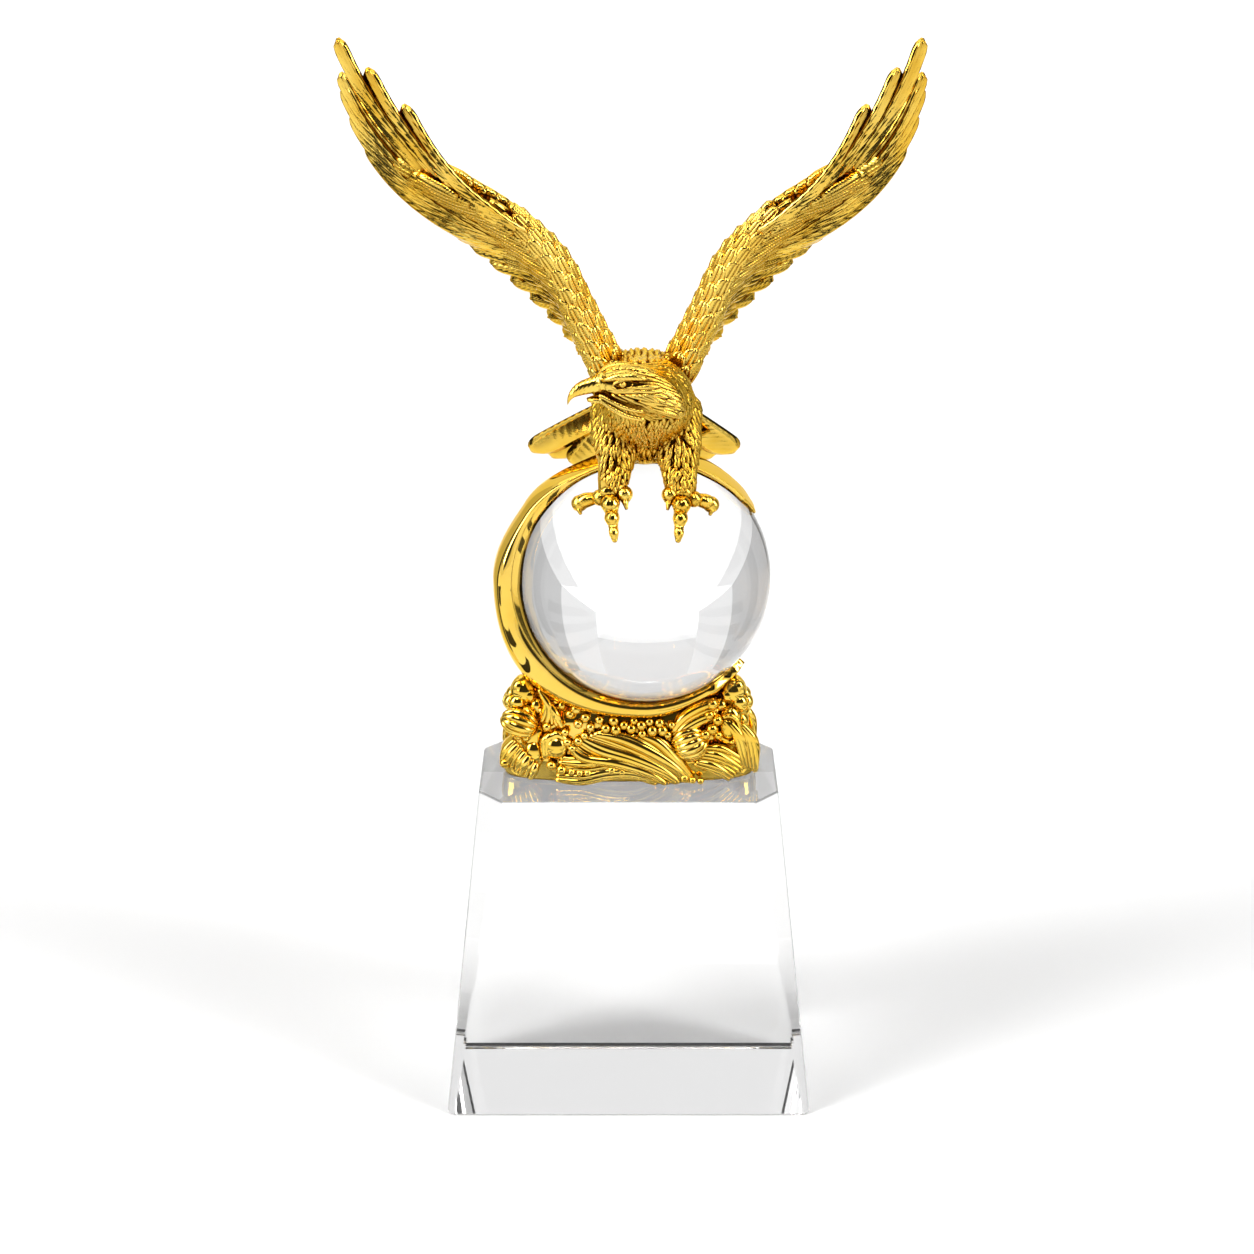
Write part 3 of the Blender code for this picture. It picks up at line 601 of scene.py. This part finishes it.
def body_core():
    """Smooth torso, skull, thighs and shanks, fused into one skin."""
    shells = Shells()
    spine = smooth_curve([
        eagle_point(0, 20, 10), eagle_point(0, 10, 15), eagle_point(0, -1, 20), eagle_point(0.4, -11, 21),
        eagle_point(1.5, -20, 25), eagle_point(0.8, -28, 29.5), eagle_point(-0.5, -32, 32),
    ], 6)
    widths = ((0, 5), (0.12, 9.5), (0.34, 13.6), (0.52, 13.8), (0.68, 12.2), (0.84, 9.4), (1, 6.4))
    bar(shells, spine, part_widths(widths, spine), Vector((0, -0.4, 1)), 28, 0.94)
    ball(shells, eagle_point(0.5, -7, 9.5), [r * PART for r in (9.2, 11.6, 7.8)], 24, 16)
    ball(shells, eagle_point(-0.5, -1.5, 22.6), [r * PART for r in (14.4, 11.6, 11.2)], 24, 16)
    head_ring(shells, (
        (10.4, 2.4, -0.8, 4.1), (8.2, 3.7, -3.0, 4.8), (5, 5.2, -4.8, 5.2), (1.5, 6.3, -6.6, 5.2),
        (-2.5, 7.2, -8.4, 4.2), (-6.5, 7.8, -10.2, 2.2), (-10.5, 8.2, -12, -1.2), (-13, 7.0, -12, -4),
    ))
    for side in (-1, 1):
        path = leg_path(side)
        widths = ((0, 8.0), (0.35, 6.6), (0.62, 4.9), (0.8, 4.5), (1, 3.7))
        bar(shells, path, part_widths(widths, path), Vector((0, -1, 0)), 20)
    return shells.object("body_core", plumage_gold)


def remeshed(made, voxel):
    """The fused skin of an object as plain points and faces."""
    remesh = made.modifiers.new("fuse", "REMESH")
    remesh.mode = "VOXEL"
    remesh.voxel_size = voxel
    graph = bpy.context.evaluated_depsgraph_get()
    mesh = made.evaluated_get(graph).to_mesh()
    points = [v.co.copy() for v in mesh.vertices]
    faces = [tuple(p.vertices) for p in mesh.polygons]
    made.evaluated_get(graph).to_mesh_clear()
    made.modifiers.remove(remesh)
    return points, faces


def plumage_flow(point):
    """Which way the plumage lies: down and back on the body, swept back from the beak on the head."""
    body_flow = Vector((0.0, 0.30, -0.95))
    head_flow = Vector((0.93, 0.25, -0.28))
    share = min(max((point.y / PART + 25) / -9, 0), 1)
    if point.z < eagle_point(0, 0, 24).z:
        share = 0
    return body_flow.lerp(head_flow, share)


def tuft(shells, base, point, normal, flow, length, width, thickness, lift):
    """A small pointed lock lying on the skin."""
    along = flow - normal * flow.dot(normal)
    if along.length < 0.05:
        return
    along.normalize()
    root = point - normal * 0.3 * PART
    reach = point + along * length * PART
    found, out, _, _ = base.find_nearest(reach)
    tip = found + out * lift * PART
    middle = (root + tip) / 2 + normal * (0.3 * lift + 0.35) * PART
    feather(shells, bend(root, middle, tip, 5), width, normal, thickness, TUFT, 1, 0.6, 0.7, (0,))


SKIN_STEP = 0.85 * MM
SEED_SPACING = 1.9 * MM


def plumage():
    """The fused skin and the locks seeded over it, as a body and a head."""
    core = body_core()
    points, faces = remeshed(core, SKIN_STEP)
    base = BVHTree.FromPolygons(points, faces)
    seeds, _ = remeshed(core, SEED_SPACING)
    bpy.data.objects.remove(core)
    trunk = Shells()
    trunk.points.extend(points)
    trunk.faces.extend(faces)
    trunk.maps.extend(tuple((0.5, 0.5) for _ in face) for face in faces)
    locks = Shells()
    for point in seeds:
        local = (point - Vector((EAGLE_X, 0, ball_high.z))) / PART
        if local.z < -4:
            continue
        offset = (point - SKULL) / PART
        forward = offset.dot(FORWARD)
        aside = abs(offset.dot(TOWARD))
        up = offset.dot(HEAD_UP)
        in_head = local.y < -25 and local.z > 24
        # the beak and the eyes stay bare
        if forward > 7.5:
            continue
        if in_head and 0.5 < forward < 8.5 and aside > 3.4 and 0.2 < up < 4.4:
            continue
        found, out, _, _ = base.find_nearest(point)
        turn = Vector((rng.uniform(-1, 1), rng.uniform(-1, 1), rng.uniform(-1, 1)))
        if local.z < 6 and local.y < -8:
            flow = Vector((turn.x * 0.9, 0, -1))
            tuft(trunk, base, found, out, flow, 3.4, rng.uniform(1.6, 2.8), 1.1, 0.15)
        elif in_head:
            flow = plumage_flow(found) + turn * 0.13
            tuft(locks, base, found, out, flow, rng.uniform(5, 7.5), rng.uniform(1.5, 2.3), 1.3, 0.1)
        elif local.y > -14 and local.z > 26:
            tuft(trunk, base, found, out, Vector((turn.x * 0.2, 1, -0.3)), 3.4, 3.0, 1.5, 0.8)
        else:
            flow = plumage_flow(found) + turn * 0.3
            tuft(trunk, base, found, out, flow, rng.uniform(3.2, 5.0), rng.uniform(1.7, 2.7), 1.4, 0.45)
    return trunk, locks


def face(shells):
    """Brow, eye and gape on each side of the head, and the hooked beak."""
    for side in (-1, 1):
        out = TOWARD * side
        brow = bend(head_point(9.6, side * 2.6, 3.2), head_point(5.5, side * 6.4, 5.4),
                    head_point(-2.5, side * 7.2, 2.9), 14)
        radii = [PART * (0.3 + 0.8 * math.sin(math.pi * (0.06 + 0.8 * i / 14))) for i in range(15)]
        bar(shells, brow, radii, out, 10)
        ball(shells, head_point(4.5, side * 5.15, 2.0), 1.3 * PART, 20, 14)
        ball(shells, head_point(4.6, side * 6.15, 2.1), 0.5 * PART, 14, 10)
        for turn in (1, -1):
            lid = []
            for i in range(17):
                a = math.pi * i / 16
                lid.append(head_point(4.4 + 3.0 * math.cos(a), side * (5.3 + 0.75 * math.sin(a)),
                                      1.9 + turn * 1.5 * math.sin(a)))
            radii = [PART * (0.22 + 0.26 * math.sin(math.pi * i / 16)) for i in range(17)]
            bar(shells, lid, radii, out, 8)
        for rise, width in ((0, 0.75), (-2.4, 0.85)):
            gape = smooth_curve([
                head_point(11.2, side * 2.9, -0.9 + rise * 0.45),
                head_point(8.2, side * 4.5, -2.9 + rise * 0.8),
                head_point(4.4, side * 5.9, -5.2 + rise),
                head_point(-0.5, side * 7.0, -7.0 + rise),
            ], 6)
            last = len(gape) - 1
            radii = [PART * width * (0.55 + 0.45 * math.sin(math.pi * (0.1 + 0.75 * i / last)))
                     for i in range(last + 1)]
            bar(shells, gape, radii, out, 10)
        # long strokes swept back over the cheek
        for k in range(7):
            start = head_point(2.6 - 0.9 * k, side * (6.0 + 0.12 * k), 0.6 - 1.15 * k)
            finish = head_point(-6.5 - 0.7 * k, side * (7.6 + 0.06 * k), -0.2 - 1.6 * k)
            middle = (start + finish) / 2 + out * 0.8 * PART + HEAD_UP * 0.5 * PART
            radii = [PART * (0.15 + 0.6 * math.sin(math.pi * i / 10)) for i in range(11)]
            bar(shells, bend(start, middle, finish, 10), radii, out, 8, 0.9)
        ball(shells, head_point(10.9, side * 2.5, 2.0), (0.75 * PART, 0.45 * PART, 0.4 * PART), 12, 8)
    head_ring(shells, (
        (8.4, 3.3, -1.6, 4.75), (9.6, 3.2, -1.5, 4.9), (10.6, 2.9, -1.2, 4.75), (11.0, 2.5, -1.1, 4.35),
        (13.0, 2.1, -0.9, 3.9), (15.0, 1.85, -0.9, 3.5), (16.8, 1.55, -1.0, 2.8), (18.2, 1.25, -1.2, 1.8),
        (19.2, 0.95, -1.8, 0.6), (19.9, 0.6, -2.7, -0.7), (20.2, 0.25, -3.3, -2.0),
    ), 28)
    head_ring(shells, (
        (4, 4.9, -7.0, -3.0), (7, 4.0, -5.6, -2.4), (10, 2.7, -4.4, -1.9), (12.5, 1.8, -3.9, -1.8),
        (14.2, 0.9, -3.2, -2.0),
    ), 20)


def feet(shells):
    """Knuckles, toes and claws gripping the ball."""
    for side in (-1, 1):
        ankle = (side * 15.0 + LEG_PARTS, 30.7)
        knuckles = (ankle[0] + (1.2 if side < 0 else 0), ankle[1] + 1.6)
        for turn in (-1, 1):
            ball(shells, on_ball(knuckles[0] + 5.1 * turn, knuckles[1], 2.7 * PART), 2.6 * PART, 24, 16)
        ball(shells, on_ball(knuckles[0], knuckles[1] - 2, 2.6 * PART), 2.7 * PART, 24, 16)
        outer = (ankle[0] + side * 12.5, 31.5)
        inner = (knuckles[0] - side * 5.1, 33.0)
        front = (knuckles[0] + (0.6 if side < 0 else -1.2), 52.5)
        back = (ankle[0], 12)
        # where each toe ends, how thick it is, how many knuckles show and how far it tapers
        toes = ((front, 3.1, 3.4, 0.66), (outer, 2.3, 1.1, 0.1), (back, 2.2, 3, 0.6))
        for tip, thick, knuckle_count, taper in toes:
            path = []
            radii = []
            for i in range(37):
                t = i / 36
                bead = 1 + 0.13 * math.cos(2 * math.pi * knuckle_count * t)
                r = thick * PART * bead * (1 - taper * t ** 1.3)
                aside, lean = (a + (b - a) * t for a, b in zip(ankle, tip))
                path.append(on_ball(aside, lean, FIT_GAP + r * 0.85))
                radii.append(r)
            bar(shells, path, radii, (path[0] - BALL_CENTRE).normalized(), 18)
            ball(shells, path[-1], radii[-1], 14, 9)
        # bulbs at the ends of the side toes, with their claws turned down:
        # place, radius, and how far out the bulb, the claw's root and its tip stand
        for (aside, lean), bulb, bulb_out, root_out, tip_out in (
            (outer, 2.6, 1.2, 1.6, 1.2), (inner, 2.0, 0, 0, -0.6),
        ):
            ball(shells, on_ball(aside + side * bulb_out, lean, 1.9 * PART), bulb * PART, 20, 14)
            start = on_ball(aside + side * root_out, lean + 1.5, 1.7 * PART)
            finish = on_ball(aside + side * tip_out, lean + 5.6, 0.9 * PART)
            up = (start - BALL_CENTRE).normalized()
            radii = [PART * (1.35 - 0.11 * i) for i in range(9)]
            bar(shells, arc(start, finish, up * PART, 8), radii, up, 12)


trunk, locks = plumage()
face(locks)
feet(trunk)
finish_piece(trunk.object("eagle_body", plumage_gold), "gilt_eagle", "eagle")
finish_piece(locks.object("eagle_head", plumage_gold), "gilt_eagle", "eagle")

# Eagle: tail


def tail():
    """Two tiers of feathers fanned under the rump, and one folded feather at the right."""
    shells = Shells()
    root = eagle_point(0, 13, 17)
    droop = math.radians(49)
    roll = Matrix.Rotation(math.radians(-4), 3, "Y")
    normal = roll @ Vector((0, math.sin(droop), math.cos(droop)))

    def flow_at(share, fan_half):
        spread = math.radians(-8 + fan_half * share)
        back = math.cos(spread)
        return roll @ Vector((math.sin(spread), back * math.cos(droop), -back * math.sin(droop)))

    for i in range(9):
        share = i / 4 - 1
        flow = flow_at(share, 43)
        lift = normal * (0.5 * (1 if i % 2 else -1) - abs(share) * 0.5) * PART
        near = root + flow * 4 * PART + lift
        far = root + flow * 48.5 * PART + lift
        feather(shells, arc(near, far, normal * 1.2 * PART, 30), 13.3, normal, 1.5, LEAF, 1, 0.9)
    for i in range(9):
        flow = flow_at(i / 4 - 1, 38)
        near = root + flow * 1 * PART + normal * 1.4 * PART
        far = root + flow * 13 * PART + normal * 1.0 * PART
        feather(shells, arc(near, far, normal * 1.4 * PART, 14), 7.5, normal, 1.6)
    # one feather folded over the others at the right
    near = Vector((17.5, 17, 220.5)) * MM
    far = Vector((28.4, 33.5, 221.6)) * MM
    fold = arc(near, far, Vector((0, 0, 0.6 * MM)), 14)
    bar(shells, fold, [PART * (1.7 - 0.04 * i) for i in range(15)], normal, 14, 0.7)
    ball(shells, fold[-1], (1.2 * PART, 1.0 * PART, 0.9 * PART), 14, 9)
    return shells


finish_piece(tail().object("eagle_tail", plumage_gold), "gilt_eagle", "eagle")

# Eagle: wings


def wing(side, lean_in):
    """One raised wing: arm, web, long feathers, secondaries, coverts and scales."""
    shells = Shells()
    lead = -side

    def place(across, back, above):
        return eagle_point(side * across * (1 - lean_in * (above / EAGLE_PARTS) ** 1.5), back, above)

    arm = smooth_curve([
        place(6.4, -1, 20), place(12.8, -3, 34), place(18.7, -5, 47), place(24.8, -6.5, 60.5),
        place(32.6, -8, 71), place(43, -8, 80), place(56, -8, 88), place(65.5, -7, 99),
    ], 8)
    trail = smooth_curve([
        place(12, 10, 16), place(18.8, 14, 28), place(33.4, 16, 45.5), place(52, 17, 62.3),
        place(68, 15, 76.5), place(83.6, 9, 97.5), place(90, 6, 114.5),
    ], 8)
    front = Vector((side * 0.45, -0.75, -0.35)).normalized()
    widths = ((0, 4.2), (0.17, 3.4), (0.42, 2.8), (0.60, 2.2), (0.75, 1.7))
    arm_end = int(widths[-1][0] * (len(arm) - 1))
    bar(shells, arm[:arm_end + 1], part_widths(widths, arm)[:arm_end + 1], front, 20, 0.9)
    rings = []
    for i in range(31):
        near = on_curve(arm, i / 30)
        far = on_curve(trail, 0.88 * i / 30)
        far = far + (near - far).normalized() * 5 * PART
        middle = (near + far) / 2 - front * 1.5 * PART
        thick = front * 0.8 * PART
        rings.append([near + thick, middle + thick, far + thick, far - thick, middle - thick, near - thick])
    shells.skin(rings)

    # long feathers: root, middle and tip as across, back and above, then width and section
    for root, through, tip, width, blade in (
        ((35, -12, 74), (58.4, -13.5, 85), (70, -9, 111), 7.4, BLADE),
        ((40, -8, 73), (68, -10, 93), (80.4, -6, 121), 7.0, BLADE),
        ((41, -6, 72), (76, -6, 95), (88.9, -3, 129), 6.4, BLADE),
        ((42, -4, 71), (77.5, -1, 90), (89.3, 4, 118), 6.4, BLADE),
        ((42, -3, 69.5), (78.4, 1, 86), (88.6, 6, 114), 7.4, BLADE),
        ((41, -1, 67.5), (75.2, 3, 80), (86.5, 7, 106), 7.4, BLADE),
        ((40, 0, 66), (71.2, 5, 75), (82.9, 9, 97), 8.6, LEAF),
        ((39, 1, 65.5), (68.2, 6.5, 73), (79.3, 10.5, 91), 7.6, LEAF),
        ((38, 2, 64.5), (64.4, 7, 72), (75.3, 11, 85.5), 8.4, LEAF),
        ((37, 3, 63.5), (60, 8.5, 70), (71.2, 12.5, 81), 7.6, LEAF),
        ((36, 4, 62.5), (56, 9, 68), (66.9, 13.5, 76.8), 8.4, LEAF),
    ):
        feather(shells, bend(place(*root), place(*through), place(*tip), 40), width, front, 2.0, blade, lead)
    # secondaries from the arm to the trailing edge
    for i in range(10):
        t = i / 9
        root = on_curve(arm, 0.12 + 0.38 * t)
        tip = on_curve(trail, 0.13 + 0.49 * t)
        tip = tip + (tip - root).normalized() * 0.2 * PART
        feather(shells, arc(root, tip, -front * 2.4 * PART, 22), 7.2 + 1.2 * t, front, 2.2)

    # coverts: rows from the trailing side up to the arm, in front and behind;
    # each row has its length, width, lift off the web, first place and turn toward the wing's tip
    for face_side in (1, -1):
        out = front * face_side
        for row, (length, size, lift, first, turn) in enumerate((
            (0.80, 7.2, 0.9, 0.14, 0.22), (0.64, 6.6, 1.8, 0.14, 0.34),
            (0.50, 5.8, 2.7, 0.13, 0.46), (0.36, 4.6, 3.4, 0.12, 0.6),
        )):
            count = 13 + 2 * row
            for i in range(count):
                t = (i + 0.5 * (row % 2)) / count
                share = first + 0.72 * t
                root = on_curve(arm, share) + out * lift * PART
                far = on_curve(trail, first + 0.62 * t)
                along = (on_curve(arm, share + 0.06) - on_curve(arm, share - 0.02)).normalized()
                chord = far - root
                bow = turn + 0.5 * max(0, t - 0.45)
                tip = root + chord * length * (1 - 0.55 * turn) + along * chord.length * length * bow
                start = root + chord * max(0, length - 0.45) * 0.6
                feather(shells, bend(start, (start + tip) / 2 + out * 0.9 * PART, tip + out * 0.3 * PART, 12),
                        size, out, 3.0, SCALE, lead * face_side)

    # scales shingled over the arm, their tips toward the wing's tip
    rows_round = 9
    scales_in_row = 10
    for row in range(rows_round):
        swing = math.radians(-180 + 360 / rows_round * row)
        for i in range(scales_in_row):
            share = 0.05 + 0.60 * (i + 0.5 * (row % 2)) / scales_in_row
            here = on_curve(arm, share)
            along = (on_curve(arm, min(1, share + 0.03)) - on_curve(arm, share - 0.03)).normalized()
            across = along.cross(front).normalized()
            normal = front * math.cos(swing) + across * math.sin(swing)
            radius = blend(widths, share)[0] * PART
            root = here + normal * radius * 0.8 - along * 2.5 * PART
            tip = here + along * (9.4 - 1.8 * share) * PART + normal * (radius + 0.9 * PART)
            width = (6.6 - 1.6 * share) * (radius / PART + 3) / 7
            feather(shells, arc(root, tip, normal * 0.7 * PART, 10), width, normal, 2.3, SCALE, lead)
    return shells


finish_piece(wing(-1, 0).object("eagle_left_wing", plumage_gold), "gilt_eagle", "eagle")
finish_piece(wing(1, 0.095).object("eagle_right_wing", plumage_gold), "gilt_eagle", "eagle")

# Floor, light and camera

FLOOR_REACH = 20
FLOOR_DROP = 0.0002
floor_mesh = bpy.data.meshes.new("floor")
floor_mesh.from_pydata([(x * FLOOR_REACH, y * FLOOR_REACH, -FLOOR_DROP)
                        for x, y in ((-1, -1), (1, -1), (1, 1), (-1, 1))], [], [(0, 1, 2, 3)])
floor = bpy.data.objects.new("floor", floor_mesh)
bpy.context.scene.collection.objects.link(floor)
floor_look, tree, shader = shader_of("pale_floor")
shader.inputs["Base Color"].default_value = (0.74, 0.74, 0.74, 1)
shader.inputs["Roughness"].default_value = 0.9
shader.inputs["Specular IOR Level"].default_value = 0.0
floor_mesh.materials.append(floor_look)

# Pale, grey and black cards beside and behind the trophy and on the floor at its sides, and thin black
# strips close behind the block's back edges and foot; only the crystal and the gold mirror them.
CARD_LEVELS = {"pale_card": 0.85, "grey_card": 0.56, "black_card": 0.015}
card_rows = []
for side in (-1, 1):
    for tone, corners in (
        ("grey_card", ((0.22, 0.02, 0), (0.30, 0.55, 0), (0.30, 0.55, 0.42), (0.22, 0.02, 0.42))),
        ("grey_card", ((0.22, 0.02, 0), (0.30, 0.55, 0), (0.60, 0.55, 0.001), (0.60, 0.02, 0.001))),
        ("black_card", ((0.215, 0.04, 0), (0.222, 0.10, 0), (0.222, 0.10, 0.5), (0.215, 0.04, 0.5))),
        ("black_card", ((0.0586, 0.0328, 0.001), (0.0594, 0.0328, 0.001),
                        (0.0406, 0.0254, 0.112), (0.0398, 0.0254, 0.112))),
        ("pale_card", ((0.30, 0.55, 0), (0.26, 0.95, 0), (0.26, 0.95, 0.5), (0.30, 0.55, 0.42))),
        ("pale_card", ((0.16, 0.02, 0.001), (0.22, 0.02, 0), (0.30, 0.55, 0), (0.21, 0.55, 0.001))),
        *(("black_card", ((near, -0.40, 0.002), (far, -0.40, 0.002), (far, 0.05, 0.002), (near, 0.05, 0.002)))
          for near, far in ((0.15, 0.18), (0.25, 0.32), (0.42, 0.62))),
    ):
        card_rows.append((tone, [(side * x, y, z) for x, y, z in corners]))
# painted shade: a black strip behind the block's foot, seen in the crystal, stands in for the contact shade where
# the block meets the floor
card_rows.append(("black_card", [(-0.058, 0.0326, 0.0001), (0.058, 0.0326, 0.0001),
                                 (0.058, 0.0326, 0.0012), (-0.058, 0.0326, 0.0012)]))
card_mesh = bpy.data.meshes.new("cards")
card_mesh.from_pydata([corner for _, corners in card_rows for corner in corners], [],
                      [tuple(range(4 * i, 4 * i + 4)) for i in range(len(card_rows))])
cards = bpy.data.objects.new("cards", card_mesh)
bpy.context.scene.collection.objects.link(cards)
for name, level in CARD_LEVELS.items():
    card_look, tree, shader = shader_of(name)
    shader.inputs["Base Color"].default_value = (0, 0, 0, 1)
    shader.inputs["Roughness"].default_value = 1.0
    shader.inputs["Emission Color"].default_value = (1, 1, 1, 1)
    shader.inputs["Emission Strength"].default_value = level
    card_mesh.materials.append(card_look)
for polygon, (tone, _) in zip(card_mesh.polygons, card_rows):
    polygon.material_index = list(CARD_LEVELS).index(tone)
cards.visible_camera = False
cards.visible_diffuse = False
cards.visible_shadow = False

world = bpy.data.worlds.new("studio")
bpy.context.scene.world = world
world.use_nodes = True
studio = world.node_tree


def sky_math(kind, first, second=None, third=None):
    """One arithmetic step on sockets or numbers."""
    node = studio.nodes.new("ShaderNodeMath")
    node.operation = kind
    for socket, value in zip(node.inputs, (first, second, third)):
        if value is None:
            continue
        if isinstance(value, (int, float)):
            socket.default_value = value
        else:
            studio.links.new(value, socket)
    return node.outputs[0]


def sky_window(angle, middle, half, soft):
    """1 within half of the middle angle, fading to 0 over soft; all in degrees."""
    away = sky_math("ABSOLUTE", sky_math("SUBTRACT", angle, math.radians(middle)))
    fade = studio.nodes.new("ShaderNodeMapRange")
    fade.interpolation_type = "SMOOTHSTEP"
    fade.inputs["From Min"].default_value = math.radians(half + soft)
    fade.inputs["From Max"].default_value = math.radians(half)
    studio.links.new(away, fade.inputs["Value"])
    return fade.outputs["Result"]


coord = studio.nodes.new("ShaderNodeTexCoord")
split = studio.nodes.new("ShaderNodeSeparateXYZ")
studio.links.new(coord.outputs["Generated"], split.inputs["Vector"])
round_about = sky_math("ARCTAN2", split.outputs["X"], sky_math("MULTIPLY", split.outputs["Y"], -1.0))
from_behind = sky_math("ARCTAN2", split.outputs["X"], split.outputs["Y"])
height = sky_math("ARCSINE", split.outputs["Z"])

# The surroundings: bright behind, dark in front, with lit and dark cards, and a pale rim at the horizon.
# Rows: angle used, degrees to the right, half width, degrees up, half height, soft edge, brightness
LEVEL_AROUND = 0.4
LEVEL_IN_FRONT = 0.06
glow = sky_math("MULTIPLY_ADD", sky_window(round_about, 0, 70, 50),
                LEVEL_IN_FRONT - LEVEL_AROUND, LEVEL_AROUND)
for angle, aside, half_wide, lifted, half_tall, soft, level in (
    (from_behind, 0, 38, 10, 26, 14, 0.82),
    (from_behind, 52, 7, 25, 45, 4, 0.04),
    (from_behind, -52, 7, 25, 45, 4, 0.04),
    (round_about, -64, 22, 34, 30, 4, 1.0),
    (round_about, -66, 8, 36, 24, 3, 12.5),
    (round_about, -36, 5, 30, 34, 3, 0.01),
    (round_about, -98, 9, 25, 60, 5, 0.02),
    (round_about, 64, 17, 34, 28, 4, 1.0),
    (round_about, 66, 6, 34, 22, 3, 12.5),
    (round_about, 42, 5, 30, 34, 3, 0.01),
    (round_about, 92, 9, 25, 60, 5, 0.02),
    (round_about, -4, 15, 60, 5, 3, 12.5),
    (round_about, 0, 28, 24, 19, 8, 0.04),
    (round_about, 0, 185, -2, 5, 3, 0.85),
):
    mask = sky_math("MULTIPLY", sky_window(height, lifted, half_tall, soft),
                    sky_window(angle, aside, half_wide, soft))
    step = sky_math("MULTIPLY", sky_math("SUBTRACT", level, glow), mask)
    glow = sky_math("ADD", glow, step)
studio.nodes["Background"].inputs["Color"].default_value = (1, 1, 1, 1)
studio.links.new(glow, studio.nodes["Background"].inputs["Strength"])


def softbox(name, place, aim, wide, tall, power):
    """A rectangular lamp turned toward its aim."""
    lamp = bpy.data.lights.new(name, "AREA")
    lamp.shape = "RECTANGLE"
    lamp.size = wide
    lamp.size_y = tall
    lamp.energy = power
    made = bpy.data.objects.new(name, lamp)
    bpy.context.scene.collection.objects.link(made)
    made.location = place
    made.rotation_euler = (Vector(aim) - Vector(place)).to_track_quat("-Z", "Y").to_euler()
    made.visible_transmission = False


softbox("sweep_light", (0, 2.0, 1.7), (0, 1.7, 0), 3.0, 1.8, 12)
softbox("top_softbox", (-0.1, 0.1, 1.4), (0, 0, 0), 1.1, 0.7, 3.0)

# the photo's view: its tilt, and its focal length and width in the same steps
LOOKS_DOWN = 22.81
FOCAL_STEPS = 2349
PICTURE_STEPS = 1254
SENSOR_WIDTH = 36
lens = bpy.data.cameras.new("photo_view")
camera = bpy.data.objects.new("photo_view", lens)
bpy.context.scene.collection.objects.link(camera)
camera.location = (-0.0005, -0.697, 0.458)
camera.rotation_euler = (math.radians(90 - LOOKS_DOWN), 0, 0)
lens.sensor_width = SENSOR_WIDTH
lens.lens = FOCAL_STEPS * SENSOR_WIDTH / PICTURE_STEPS
lens.clip_start = 0.01
bpy.context.scene.camera = camera
bpy.context.scene.view_settings.view_transform = "Standard"
